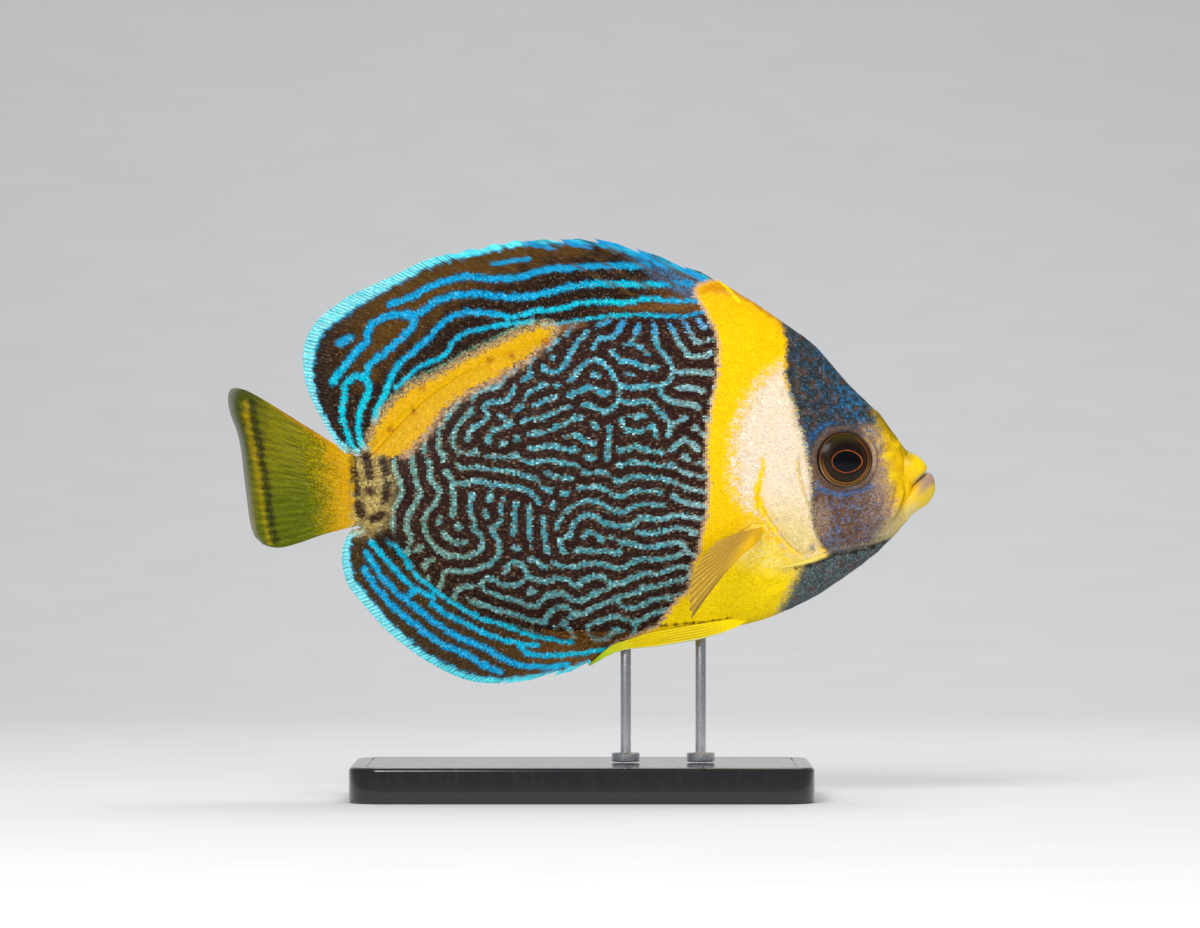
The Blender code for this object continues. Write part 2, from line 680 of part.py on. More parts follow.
def make_stand(lacquer, steel):
    length, width, height = BASE_SIZE
    bm = bmesh.new()
    outline = []
    for quarter in range(4):
        sx = (1, -1, -1, 1)[quarter]
        sy = (1, 1, -1, -1)[quarter]
        for k in range(7):
            angle = math.pi / 2 * (quarter + k / 6)
            centre = Vector((sx * (length / 2 - BASE_CORNER), sy * (width / 2 - BASE_CORNER)))
            outline.append(centre + BASE_CORNER * Vector((math.cos(angle), math.sin(angle))))
    foot = bm.faces.new([bm.verts.new((x, y, 0)) for x, y in outline])
    rim = bmesh.ops.extrude_face_region(bm, geom=[foot])["geom"]
    raised = [g for g in rim if isinstance(g, bmesh.types.BMVert)]
    bmesh.ops.translate(bm, vec=(0, 0, height), verts=raised)
    top_edges = [e for e in bm.edges if all(v.co.z > height / 2 for v in e.verts)]
    bmesh.ops.bevel(bm, geom=top_edges, offset=BASE_BEVEL, segments=2, affect="EDGES", profile=0.5)
    new_object("stand_base", bm, lacquer)
    for name, place in ROD_PLACES.items():
        x = place * POINT
        collar_top = height + GAP + COLLAR_HEIGHT
        turned(name.replace("rod", "collar"), x, COLLAR_WIDTH / 2, height + GAP, lambda x: collar_top, steel)
        turned(name, x, ROD_WIDTH / 2, collar_top + GAP, rod_top, steel)


def rod_top(x):
    """The height of a rod's end under the belly, in metres."""
    return FISH_HEIGHT + belly(x / POINT) * POINT - GAP


def turned(name, x, radius, bottom, top, material, steps=20):
    """An upright rod whose upper end follows a height along X."""
    bm = bmesh.new()
    around = [2 * math.pi * k / steps for k in range(steps)]
    spots = [(x + radius * math.cos(a), radius * math.sin(a)) for a in around]
    low = [bm.verts.new((px, py, bottom)) for px, py in spots]
    high = [bm.verts.new((px, py, top(px))) for px, py in spots]
    for k in range(steps):
        after = (k + 1) % steps
        bm.faces.new((low[k], low[after], high[after], high[k]))
    bm.faces.new(low)
    bm.faces.new(high)
    return new_object(name, bm, material)


def main():
    clear_scene()
    gold = finish_material("gold", GOLD)
    umber = finish_material("umber", UMBER)
    azure = finish_material("azure", AZURE)
    make_head(finish_material("dusk", DUSK))
    make_eyes(finish_material("ink", INK))
    make_gill_covers(finish_material("cream", CREAM))
    jaw("upper_jaw", UPPER_JAW, gold)
    jaw("lower_jaw", LOWER_JAW, gold)
    body_length("shoulder", SHOULDER_CUT + HALF_CUT, NAPE_CUT - HALF_CUT, 5, gold)
    body_length("trunk", STEM_CUT + HALF_CUT, SHOULDER_CUT - HALF_CUT, 22, umber)
    body_length("tail_stem", TAIL_CUT + HALF_CUT, STEM_CUT - HALF_CUT, 3, umber)
    make_median_fins(azure)
    make_tail_fin(finish_material("olive", OLIVE))
    for word, side in (("right", -1), ("left", 1)):
        make_pectoral("pectoral_fin_" + word, side, PECTORAL_FLARE[word], gold)
        make_pelvic("pelvic_fin_" + word, side, gold)
    make_stand(finish_material("black_lacquer", BLACK_LACQUER), finish_material("steel", STEEL, 1.0))


main()
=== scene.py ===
"""Looks of a scribbled angelfish: a life-size museum model above a plain display stand.

Lengths are in metres. Places on the fish's side are in points, thousandths of its length: the first number
runs forward along the fish and the second upward, both from the middle of its side.
"""

import logging
import math
from dataclasses import dataclass, field
from enum import Enum
from typing import Callable, Sequence

import bmesh
import bpy
import numpy as np
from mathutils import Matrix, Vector


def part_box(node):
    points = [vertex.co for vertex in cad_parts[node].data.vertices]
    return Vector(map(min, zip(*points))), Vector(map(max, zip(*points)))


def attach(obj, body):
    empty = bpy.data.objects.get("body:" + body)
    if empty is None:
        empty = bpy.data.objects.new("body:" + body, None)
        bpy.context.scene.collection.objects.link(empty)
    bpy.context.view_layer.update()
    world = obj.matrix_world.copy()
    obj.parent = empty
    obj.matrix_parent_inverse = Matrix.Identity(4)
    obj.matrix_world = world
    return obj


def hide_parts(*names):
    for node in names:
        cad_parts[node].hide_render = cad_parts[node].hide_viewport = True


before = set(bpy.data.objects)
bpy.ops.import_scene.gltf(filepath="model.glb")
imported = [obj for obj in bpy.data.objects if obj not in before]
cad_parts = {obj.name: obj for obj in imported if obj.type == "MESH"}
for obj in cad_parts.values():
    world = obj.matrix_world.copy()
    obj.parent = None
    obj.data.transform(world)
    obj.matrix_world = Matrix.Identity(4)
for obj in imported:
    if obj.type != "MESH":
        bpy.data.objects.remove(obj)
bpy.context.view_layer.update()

Array = np.ndarray
Line = Sequence[tuple[float, float]]
Colour = tuple[int, int, int]
Inputs = dict[str | int, bpy.types.NodeSocket | float | tuple[float, ...]]

LENGTH = 0.200  # snout to tail tip
POINT = LENGTH / 1000
FIN_CLEARANCE = 0.022  # from the base's top to the lowest fin
LOWEST_FIN = -317
FISH_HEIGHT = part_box("stand_base")[1].z + FIN_CLEARANCE - LOWEST_FIN * POINT
BODY = "root"

log = logging.getLogger("angelfish")


class Side(Enum):
    """The fish's two sides, by the sign of their Y."""

    RIGHT = -1
    LEFT = 1

    @property
    def word(self) -> str:
        """The side's name, as the pieces' names have it."""
        return self.name.lower()


def ramp(low: float, high: float, value: Array) -> Array:
    """A smooth rise from 0 at one value to 1 at another."""
    share = np.clip((value - low) / (high - low), 0.0, 1.0)
    return share * share * (3 - 2 * share)


def hump(centre: float, reach: float, value: Array) -> Array:
    """A smooth rise to 1 at a value and back to 0 this far on both sides of it."""
    return 1 - ramp(0.0, reach, np.abs(value - centre))


def circle(count: int) -> Array:
    """This many even angles once round, from 0."""
    return np.linspace(0, 2 * np.pi, count, endpoint=False)


def unit(vectors: Array, least: float = 1e-12) -> Array:
    """Vectors brought to a length of 1, or less where they are shorter than the least."""
    return vectors / np.maximum(np.linalg.norm(vectors, axis=-1, keepdims=True), least)


def shifted(line: Line, forward: float, up: float) -> Line:
    """A line moved by this much, in points."""
    return [(u + forward, v + up) for u, v in line]


def linear(colour: Colour) -> Array:
    """A screen colour of 0 to 255 as the linear one that shaders use."""
    share = np.array(colour, float) / 255
    return np.where(share < 0.04045, share / 12.92, ((share + 0.055) / 1.055) ** 2.4)


class HeightLine:
    """The second value of points in order of the first, as a smooth function of the first."""

    def __init__(self, points: Line) -> None:
        """Keeps the points and the slope at each.

        Args:
            points: places in order of their first value.
        """
        self.xs, self.zs = np.array(points, float).T
        before = np.maximum(np.arange(len(self.xs)) - 1, 0)
        after = np.minimum(np.arange(len(self.xs)) + 1, len(self.xs) - 1)
        self.slopes = (self.zs[after] - self.zs[before]) / (self.xs[after] - self.xs[before])

    def __call__(self, x: Array) -> Array:
        """Reads the line.

        Args:
            x: first values, held to the line's own range.

        Returns:
            The second value at each.
        """
        x = np.clip(x, self.xs[0], self.xs[-1])
        i = np.clip(np.searchsorted(self.xs, x) - 1, 0, len(self.xs) - 2)
        span = self.xs[i + 1] - self.xs[i]
        t = (x - self.xs[i]) / span
        rest = self.zs[i] * (2 * t**3 - 3 * t**2 + 1) + self.zs[i + 1] * (3 * t**2 - 2 * t**3)
        return rest + span * (self.slopes[i] * (t**3 - 2 * t**2 + t) + self.slopes[i + 1] * (t**3 - t**2))


class Path:
    """A smooth curve through points in order, read by the share of its length."""

    def __init__(self, points: Sequence[Sequence[float]], closed: bool = False) -> None:
        """Keeps the points and how far along each lies.

        Args:
            points: places that the curve runs through.
            closed: whether it runs back to its first place.
        """
        spots = list(points) + ([points[0]] if closed else [])
        self.spots = np.array(spots, float)
        steps = np.linalg.norm(np.diff(self.spots, axis=0), axis=1)
        self.along = np.concatenate([[0.0], np.cumsum(steps)])

    def at(self, share: Array) -> Array:
        """Reads the curve.

        Args:
            share: shares of the length, from 0 to 1.

        Returns:
            A row for each place.
        """
        last = len(self.spots) - 1
        reach = np.clip(share, 0, 1) * self.along[-1]
        i = np.clip(np.searchsorted(self.along, reach) - 1, 0, last - 1)
        low, high = np.maximum(i - 1, 0), np.minimum(i + 2, last)
        span = (self.along[i + 1] - self.along[i])[:, None]
        t = (reach - self.along[i])[:, None] / span
        leave = (self.spots[i + 1] - self.spots[low]) * span / (self.along[i + 1] - self.along[low])[:, None]
        arrive = (self.spots[high] - self.spots[i]) * span / (self.along[high] - self.along[i])[:, None]
        held = self.spots[i] * (2 * t**3 - 3 * t**2 + 1) + self.spots[i + 1] * (3 * t**2 - 2 * t**3)
        return held + leave * (t**3 - 2 * t**2 + t) + arrive * (t**3 - t**2)

    def sampled(self, step: float) -> Array:
        """Places about this far apart along the whole curve."""
        count = max(2, round(self.along[-1] / step) + 1)
        return self.at(np.linspace(0, 1, count))


def between(grid: Array, i: Array, j: Array) -> Array:
    """Reads a grid between its cells.

    Args:
        grid: values by row and column, with any vectors last.
        i: rows, from 0.
        j: columns, from 0.

    Returns:
        The grid's value at each place.
    """
    i, j = np.broadcast_arrays(np.clip(i, 0, grid.shape[0] - 1.001), np.clip(j, 0, grid.shape[1] - 1.001))
    m, n = i.astype(int), j.astype(int)
    s, t = i - m, j - n
    if grid.ndim == 3:
        s, t = s[..., None], t[..., None]
    near = grid[m, n] * (1 - t) + grid[m, n + 1] * t
    return near * (1 - s) + (grid[m + 1, n] * (1 - t) + grid[m + 1, n + 1] * t) * s


@dataclass
class BodyShape:
    """The body's form, which the skin, the scales and the fins' roots all follow."""

    width: float = 0.0292
    tail_bend: float = 0.010
    tail_twist: float = 0.005
    bend_start: float = -150
    tail_root: float = -324
    tail_tip: float = -500
    lobes_meet: float = 10
    lobe_height: float = 120
    tail_end: float = -333
    snout_end: float = 468
    closing_length: float = 9
    back: HeightLine = field(default_factory=lambda: HeightLine((
        (-329, 7), (-312, 8), (-293, 20), (-258, 58), (-215, 98), (-159, 135), (-95, 164), (-31, 188),
        (33, 207), (96, 224), (153, 238), (195, 243), (232, 231), (269, 207), (309, 179), (330, 163),
        (354, 136), (380, 106), (405, 82), (422, 65), (438, 44), (458, 16),
    )))
    belly: HeightLine = field(default_factory=lambda: HeightLine((
        (-329, -91), (-307, -95), (-286, -107), (-251, -131), (-208, -163), (-159, -195), (-109, -222),
        (-59, -242), (-17, -253), (18, -257), (54, -257), (96, -254), (139, -249), (181, -242),
        (224, -233), (259, -224), (295, -209), (330, -192), (365, -169), (401, -143), (436, -112),
        (458, -87),
    )))
    width_share: HeightLine = field(default_factory=lambda: HeightLine((
        (-329, 0.12), (-280, 0.24), (-220, 0.40), (-140, 0.57), (-60, 0.72), (20, 0.86), (100, 0.96),
        (180, 1.0), (240, 0.98), (290, 0.92), (330, 0.84), (371, 0.73), (405, 0.60), (436, 0.46),
        (458, 0.34),
    )))
    keel: HeightLine = field(default_factory=lambda: HeightLine((
        (-329, 1.1), (-200, 1.35), (180, 1.35), (300, 1.05), (400, 0.85), (458, 0.8),
    )))
    edge: HeightLine = field(default_factory=lambda: HeightLine((
        (-329, 4.5), (-280, 5.5), (200, 5.5), (280, 3.5), (458, 3.0),
    )))
    relief: "Canvas | None" = None

    def swing(self, u: Array, v: Array) -> Array:
        """How far the tail's bend carries a place to the fish's left.

        Args:
            u, v: the place, in points.

        Returns:
            The shift along Y.
        """
        share = np.maximum(0.0, (self.bend_start - u) / (self.bend_start - self.tail_tip))
        below = np.clip((self.lobes_meet - v) / self.lobe_height, -0.6, 1.0)
        spread = np.maximum(0.0, (self.tail_root - u) / (self.tail_root - self.tail_tip))
        return self.tail_bend * share**2 + self.tail_twist * spread * below

    def placed(self, u: Array, v: Array, y: Array) -> Array:
        """Places in the frame from a side view's points and a distance from the middle plane."""
        return np.stack([u * POINT, y + self.swing(u, v), FISH_HEIGHT + v * POINT], axis=-1)

    def section(self, u: Array, turn: Array) -> tuple[Array, Array]:
        """A place on the body's section.

        Args:
            u: how far along the fish, in points.
            turn: the angle round the section, 0 at the back, with the left side from 0 to pi.

        Returns:
            Its height in points and its distance from the middle plane, signed.
        """
        past = np.maximum(u - self.snout_end, self.tail_end - u) + self.closing_length
        closing = np.sqrt(np.maximum(0.0, 1 - np.maximum(0.0, past / self.closing_length) ** 2))
        top, bottom = self.back(u), self.belly(u)
        rise = (top - bottom) / 2 * closing
        thin = self.edge(u) * POINT * closing + 1e-7
        near = np.minimum(1.0, rise * POINT * (1 - np.abs(np.cos(turn))) / thin)
        half = self.width / 2 * self.width_share(u) * closing
        bulge = np.abs(np.sin(turn)) ** self.keel(u)
        y = thin * np.sqrt(near * (2 - near)) + (half - thin) * bulge
        return (top + bottom) / 2 + rise * np.cos(turn), np.sign(np.sin(turn)) * y

    def plain(self, u: Array, turn: Array) -> Array:
        """Places on the body before any relief."""
        v, y = self.section(u, turn)
        return self.placed(u, v, y)

    def outward(self, surface: Callable[[Array, Array], Array], u: Array, turn: Array) -> Array:
        """Unit normals of a surface of length and turn, by small steps.

        Args:
            surface: gives places for lengths and turns.
            u: how far along the fish, in points.
            turn: the angle round the section.

        Returns:
            A normal for each place.
        """
        along = surface(u + 0.6, turn) - surface(u - 0.6, turn)
        around = surface(u, turn + 0.008) - surface(u, turn - 0.008)
        return unit(np.cross(along, around))

    def skin(self, u: Array, turn: Array, lift: Array | float = 0.0) -> Array:
        """Places on the skin.

        Args:
            u: how far along the fish, in points.
            turn: the angle round the section.
            lift: how far out of the skin.

        Returns:
            Places in the frame.
        """
        v, y = self.section(u, turn)
        height = self.relief.read(self.relief.layers["relief"], u, v) * ramp(0.0, 0.002, np.abs(y))
        out = (height + lift)[..., None]
        return self.placed(u, v, y) + self.outward(self.plain, u, turn) * out

    def turn_at(self, u: Array, v: Array, side: Side) -> Array:
        """The angle round the section of a place in the side view.

        Args:
            u, v: the place, in points.
            side: which side it is on.

        Returns:
            The angle, below 0 on the right.
        """
        top, bottom = self.back(u), self.belly(u)
        level = np.clip((2 * v - top - bottom) / (top - bottom), -1, 1)
        return np.arccos(level) * side.value

    def on_side(self, u: Array, v: Array, side: Side, lift: Array | float = 0.0) -> Array:
        """Places on one side's skin from its side view, this far out of it."""
        return self.skin(u, self.turn_at(u, v, side), lift)


class Canvas:
    """A side view of the fish to draw on, one cell to a point, with named layers."""

    LEFT, LOW, WIDE, HIGH = -512, -330, 1025, 661

    def __init__(self) -> None:
        """Makes an empty canvas."""
        self.u, self.v = np.meshgrid(np.arange(self.WIDE) + self.LEFT, np.arange(self.HIGH) + self.LOW)
        self.layers: dict[str, Array] = {}

    def near(self, line: Line, reach: float, closed: bool = False) -> tuple[Array, Array]:
        """How far each cell lies from a smooth line.

        Args:
            line: the places that it runs through.
            reach: the distance past which a cell isn't looked at.
            closed: whether it runs back to its first place.

        Returns:
            The distance, no more than the reach, and the share of the line's length nearest to the cell.
        """
        spots = Path(line, closed).sampled(3.0)
        distance = np.full((self.HIGH, self.WIDE), float(reach))
        share = np.zeros((self.HIGH, self.WIDE))
        for n, (a, b) in enumerate(zip(spots, spots[1:])):
            low = np.floor(np.minimum(a, b) - reach - (self.LEFT, self.LOW)).astype(int)
            high = np.ceil(np.maximum(a, b) + reach - (self.LEFT, self.LOW)).astype(int) + 1
            window = (slice(max(low[1], 0), max(high[1], 0)), slice(max(low[0], 0), max(high[0], 0)))
            du, dv = self.u[window] - a[0], self.v[window] - a[1]
            step = b - a
            t = np.clip((du * step[0] + dv * step[1]) / max(step @ step, 1e-9), 0, 1)
            away = np.hypot(du - t * step[0], dv - t * step[1])
            closer = away < distance[window]
            distance[window] = np.where(closer, away, distance[window])
            share[window] = np.where(closer, (n + t) / (len(spots) - 1), share[window])
        return distance, share

    def inside(self, outline: Line, soft: float) -> Array:
        """A patch with a soft edge.

        Args:
            outline: the places round it, in order.
            soft: how far its edge takes from 0 to 1.

        Returns:
            1 inside, 0 outside.
        """
        spots = Path(outline, True).sampled(3.0)
        within = np.zeros((self.HIGH, self.WIDE), bool)
        for (au, av), (bu, bv) in zip(spots, spots[1:]):
            low, high = (int(np.clip(math.ceil(z - self.LOW), 0, self.HIGH)) for z in sorted((av, bv)))
            if low < high:
                rows = slice(low, high)
                within[rows] ^= self.u[rows] < au + (self.v[rows] - av) * (bu - au) / (bv - av)
        distance, _ = self.near(outline, soft, True)
        return ramp(-soft / 2, soft / 2, np.where(within, distance, -distance))

    def noise(self, seed: int, wave: float, spread: float = 0.35) -> Array:
        """Even blotches of about one size.

        Args:
            seed: for the random draw.
            wave: from one blotch to the next, in points.
            spread: how much their sizes differ.

        Returns:
            Values about 0 with a spread of about 1.
        """
        rough = np.random.default_rng(seed).standard_normal((self.HIGH, self.WIDE))
        across, up = np.fft.rfftfreq(self.WIDE), np.fft.fftfreq(self.HIGH)
        pitch = np.hypot(across[None, :], up[:, None]) * wave
        kept = np.fft.irfft2(np.fft.rfft2(rough) * np.exp(-(((pitch - 1) / spread) ** 2)), rough.shape)
        return kept / kept.std()

    def read(self, layer: Array, u: Array, v: Array) -> Array:
        """Reads a layer between its cells.

        Args:
            layer: one of the canvas's size, with any colours last.
            u, v: the places.

        Returns:
            The layer's value at each place.
        """
        return between(layer, v - self.LOW, u - self.LEFT)


DORSAL_SPINES = (
    (224, (190, 257), 7), (196, (143, 276), 10), (161, (76, 301), 13), (133, (16, 316), 14),
    (104, (-32, 315), 12), (76, (-81, 313), 7), (49, (-112, 309), 6), (21, (-145, 302), 6),
    (-4, (-180, 295), 4),
)
ANAL_SPINES = ((34, (8, -289), 5), (20, (-40, -305), 12), (-8, (-112, -317), 12))
DORSAL_MARGIN = (
    (-190, 293), (-222, 284), (-258, 267), (-293, 251), (-329, 234), (-350, 220), (-372, 203),
    (-386, 184), (-394, 163), (-396, 140), (-392, 111), (-382, 84), (-367, 56), (-350, 28), (-334, 14),
    (-318, 11),
)
ANAL_MARGIN = (
    (-118, -315), (-144, -314), (-173, -307), (-201, -294), (-229, -278), (-258, -256), (-279, -238),
    (-300, -215), (-318, -194), (-331, -177), (-338, -157), (-340, -135), (-336, -113), (-327, -99),
    (-314, -97),
)
TAIL_UPPER = (
    (-328, 6), (-350, 19), (-373, 34), (-408, 57), (-443, 80), (-466, 94), (-478, 100), (-491, 104),
)
TAIL_REAR = (
    (-491, 104), (-500, 101), (-503, 86), (-499, 65), (-490, 40), (-485, 16), (-481, -20),
    (-477, -55), (-473, -85), (-467, -106), (-456, -118),
)
TAIL_ZONE = (
    (-322, 9), (-334, 11), (-350, 24), (-373, 48), (-400, 72), (-443, 104), (-480, 130), (-511, 130),
    (-511, -150), (-440, -145), (-373, -116), (-345, -102), (-330, -96), (-322, -93),
)
TAIL_LOWER = ((-328, -90), (-373, -104), (-408, -117), (-430, -123), (-444, -122), (-456, -118))
GILL_COVER = (
    (258, 0), (276, 9), (294, 7), (297, -8), (302, -33), (311, -61), (319, -87), (325, -104),
    (326, -122), (315, -131), (304, -127), (287, -112), (271, -90), (255, -64), (258, -34),
)
EYE_PLACE = (370.5, 2)
EYE_REACH = 38.5  # the eye socket's radius in points

# The pale lines of the flank that lead the rest.
SCRIBBLES = (
    ((128, 188), (134, 173), (143, 159), (154, 148), (168, 147), (182, 153)),
    ((102, 193), (104, 175), (105, 162), (116, 149), (126, 136), (129, 125), (151, 126), (183, 123)),
    ((129, 124), (122, 112), (112, 104), (111, 94), (120, 86), (140, 82), (166, 74)),
    ((78, 191), (75, 175), (70, 167), (82, 161)),
    ((43, 153), (55, 142), (77, 135), (104, 131)),
    ((58, 196), (48, 179), (41, 172), (24, 174), (17, 159)),
    ((-16, 114), (-5, 127), (10, 139), (20, 143), (35, 133), (45, 118), (54, 109), (77, 104),
     (104, 106)),
    ((53, 104), (55, 86), (71, 81), (94, 84), (105, 72), (117, 62), (124, 50), (122, 36)),
    ((126, 52), (136, 55), (146, 60)),
    ((-18, 92), (-3, 97), (9, 105), (19, 105), (25, 97), (40, 97)),
    ((4, 78), (20, 75), (34, 69), (46, 77), (51, 86)),
    ((138, 103), (160, 102), (171, 97)),
    ((129, 16), (134, 24), (145, 29), (157, 24), (162, 14)),
    ((55, 55), (62, 45), (82, 42), (99, 48), (105, 35)),
    ((50, 14), (66, 17), (77, 21), (88, 15), (115, 10)),
    ((-6, 171), (-11, 159), (-21, 143), (-25, 133), (-37, 125), (-50, 127), (-54, 134)),
    ((-37, 172), (-47, 158)),
    ((-95, 104), (-100, 91), (-114, 83), (-131, 83), (-138, 76), (-133, 65), (-140, 55), (-153, 48),
     (-162, 31)),
    ((-112, 61), (-100, 52), (-117, 46), (-128, 37), (-131, 23)),
    ((-40, 48), (-26, 50), (-17, 58), (-2, 63)),
    ((40, 46), (38, 29), (36, 3)),
    ((-72, 17), (-43, 21), (-26, 17), (-8, 15)),
    ((-8, 36), (3, 29), (16, 24)),
    ((-94, 32), (-91, 31)),
    ((18, 52), (22, 47)),
    ((6, 182), (4, 170)),
    ((-267, 0), (-263, -20), (-256, -36), (-259, -53), (-267, -67)),
    ((-242, 10), (-238, -9), (-233, -27), (-229, -49), (-237, -66), (-246, -80), (-248, -97),
     (-241, -113), (-250, -132)),
    ((-213, 0), (-215, -23), (-201, -42), (-207, -59), (-219, -76), (-221, -95), (-215, -113),
     (-203, -127), (-186, -134), (-163, -134), (-147, -128), (-141, -115), (-143, -103),
     (-156, -96)),
    ((-195, -101), (-191, -108), (-179, -114), (-166, -118)),
    ((-189, -15), (-182, -28), (-169, -33), (-149, -28), (-130, -31), (-110, -35), (-81, -40),
     (-69, -48), (-61, -59)),
    ((-182, -36), (-181, -58), (-184, -78)),
    ((-155, -48), (-156, -69), (-150, -87)),
    ((-127, -38), (-129, -57)),
    ((-117, -88), (-127, -97), (-117, -115), (-116, -127), (-124, -143), (-138, -150), (-163, -156),
     (-184, -156), (-193, -158), (-199, -172), (-206, -185)),
    ((-110, -158), (-100, -144), (-90, -144), (-80, -152), (-78, -165), (-96, -177), (-114, -175),
     (-131, -166), (-140, -172), (-138, -182), (-117, -191), (-96, -196), (-79, -204), (-63, -203),
     (-52, -193), (-43, -187), (-26, -189), (-10, -198), (10, -196), (25, -184), (40, -181)),
    ((-77, -165), (-50, -170), (-27, -165), (-15, -170), (-8, -178), (4, -167), (27, -162),
     (40, -171), (55, -175), (69, -165), (82, -169), (88, -179), (112, -175), (131, -167),
     (151, -164)),
    ((-74, -139), (-63, -141), (-50, -151)),
    ((-40, -143), (-25, -150)),
    ((-15, -150), (10, -144), (31, -146), (52, -151), (69, -146), (80, -138), (105, -138),
     (126, -136), (141, -129)),
    ((78, -153), (94, -160), (115, -159), (129, -150), (145, -150), (155, -159)),
    ((3, -108), (10, -99), (22, -106), (31, -118)),
    ((-6, -125), (13, -129), (34, -127), (53, -129), (57, -116), (80, -119), (101, -122),
     (126, -116), (143, -117), (148, -127), (165, -135)),
    ((-26, -129), (-31, -116), (-24, -108), (-15, -106), (-13, -92), (-1, -79), (13, -75),
     (31, -86), (55, -93), (75, -88), (85, -79), (112, -83), (136, -78), (166, -80)),
    ((78, -101), (96, -103), (115, -99), (133, -92), (161, -100)),
    ((128, -48), (142, -58), (158, -62), (177, -64)),
    ((-96, -62), (-94, -81), (-96, -104)),
    ((-74, -62), (-72, -87), (-73, -108)),
    ((-54, -83), (-52, -108), (-48, -129)),
    ((-177, -186), (-182, -200), (-174, -208), (-156, -217), (-131, -224), (-103, -231), (-82, -238)),
    ((-175, -185), (-165, -177), (-154, -179)),
    ((-26, -227), (-13, -219), (3, -215), (21, -204), (38, -199), (49, -191), (69, -189), (98, -177)),
    ((-154, -203), (-140, -204), (-117, -213), (-96, -218), (-71, -226), (-53, -230), (-48, -219),
     (-39, -208), (-25, -205), (-12, -211)),
    ((-82, -238), (-54, -249), (-36, -257), (-15, -257), (-11, -249), (-20, -236), (-26, -227)),
    ((25, -255), (13, -247), (9, -234), (24, -225), (48, -220), (66, -225), (75, -236), (72, -248)),
    ((25, -255), (40, -249), (45, -238), (60, -240)),
    ((50, -193), (54, -203), (69, -208), (91, -201), (105, -194), (125, -193)),
    ((75, -234), (81, -225), (101, -214), (117, -209)),
    ((-223, -153), (-221, -145), (-209, -139)),
    ((-253, -134), (-237, -127), (-227, -119)),
)
# Long stripes of the dorsal and the anal fin: the line, its width at both ends and its strength.
STRIPES = (
    (((-272, 222), (-242, 232), (-214, 247), (-187, 256), (-167, 260), (-139, 258), (-106, 258),
      (-76, 263), (-51, 271), (-20, 273), (30, 276), (94, 276)), 10, 9, 1.0),
    (((-126, 279), (-76, 286)), 6, 6, 0.9),
    (((-353, 112), (-337, 133), (-321, 154), (-305, 169), (-302, 186), (-289, 198), (-269, 207),
      (-242, 207), (-227, 211), (-204, 226), (-181, 234), (-146, 236), (-106, 232), (-81, 232),
      (-51, 237), (-20, 245), (20, 251), (79, 249), (158, 252)), 11, 8, 1.0),
    (((-242, 203), (-237, 195), (-252, 176), (-272, 159), (-289, 146), (-302, 133), (-305, 120),
      (-302, 101), (-312, 75), (-317, 55), (-314, 30), (-305, 16)), 11, 8, 1.0),
    (((-305, 120), (-321, 118), (-334, 109), (-337, 88), (-339, 65), (-334, 42), (-324, 20),
      (-317, 13)), 10, 6, 1.0),
    (((-343, 167), (-329, 174)), 12, 12, 0.9),
    (((-292, 58), (-289, 75), (-279, 94), (-269, 120), (-259, 136), (-237, 156), (-214, 176),
      (-201, 191), (-181, 205), (-161, 210), (-126, 208), (-99, 203), (-67, 211), (-30, 215), (4, 224),
      (52, 224), (99, 229), (119, 226), (174, 227)), 9, 6, 1.0),
    (((-262, 104), (-234, 130), (-214, 140), (-194, 149), (-181, 169), (-161, 182), (-136, 188),
      (-109, 193), (-70, 196)), 6, 7, 0.9),
    (((-59, 190), (-14, 197), (30, 204), (79, 207), (139, 204), (176, 211)), 4, 5, 0.8),
    (((-278, -109), (-256, -130), (-238, -157), (-215, -178), (-191, -195), (-170, -208),
      (-143, -222), (-103, -235), (-76, -246), (-51, -251), (-28, -256), (-13, -256)), 7, 5, 0.95),
    (((-299, -114), (-278, -139), (-256, -163), (-235, -181), (-208, -194)), 8, 7, 1.0),
    (((-211, -203), (-185, -220), (-166, -229), (-129, -247), (-91, -258), (-62, -261)), 8, 6, 1.0),
    (((-91, -258), (-76, -272), (-42, -275), (-4, -272), (24, -268), (40, -265)), 8, 5, 1.0),
    (((-305, -130), (-286, -160), (-265, -184), (-251, -195), (-227, -214), (-203, -232),
      (-173, -250), (-143, -262), (-132, -268), (-106, -282), (-79, -290), (-51, -292),
      (-22, -289)), 9, 8, 1.0),
    (((-235, -181), (-245, -191), (-255, -193)), 8, 8, 1.0),
    (((-309, -153), (-292, -178), (-271, -203), (-248, -222), (-221, -244), (-191, -262),
      (-164, -273), (-137, -290), (-115, -299)), 9, 9, 1.0),
)
CRESCENT_TOP = (
    (-302, 14), (-297, 32), (-291, 48), (-275, 72), (-249, 98), (-222, 113), (-194, 125), (-156, 147),
    (-123, 162), (-104, 172), (-78, 184), (-56, 189), (-38, 186),
)
CRESCENT = (
    *CRESCENT_TOP, (-46, 172), (-62, 158), (-84, 141), (-123, 117), (-155, 101), (-187, 80), (-210, 53),
    (-227, 33), (-252, 11), (-272, 4), (-285, 3), (-302, 4),
)
CRESCENT_SPOTS = ((-271, 45), (-239, 71), (-225, 102), (-130, 142), (-99, 149), (-51, 169))
SHOULDER_LINE = (
    (200, 262), (178, 252), (162, 242), (166, 228), (176, 212), (186, 191), (193, 173), (194, 153),
    (193, 130), (190, 106), (183, 71),
    (178, 35), (177, 1), (180, -30), (178, -71), (171, -102), (167, -126), (156, -153), (153, -177),
    (147, -187), (135, -198), (122, -215), (110, -232), (96, -239), (74, -251), (44, -264),
)
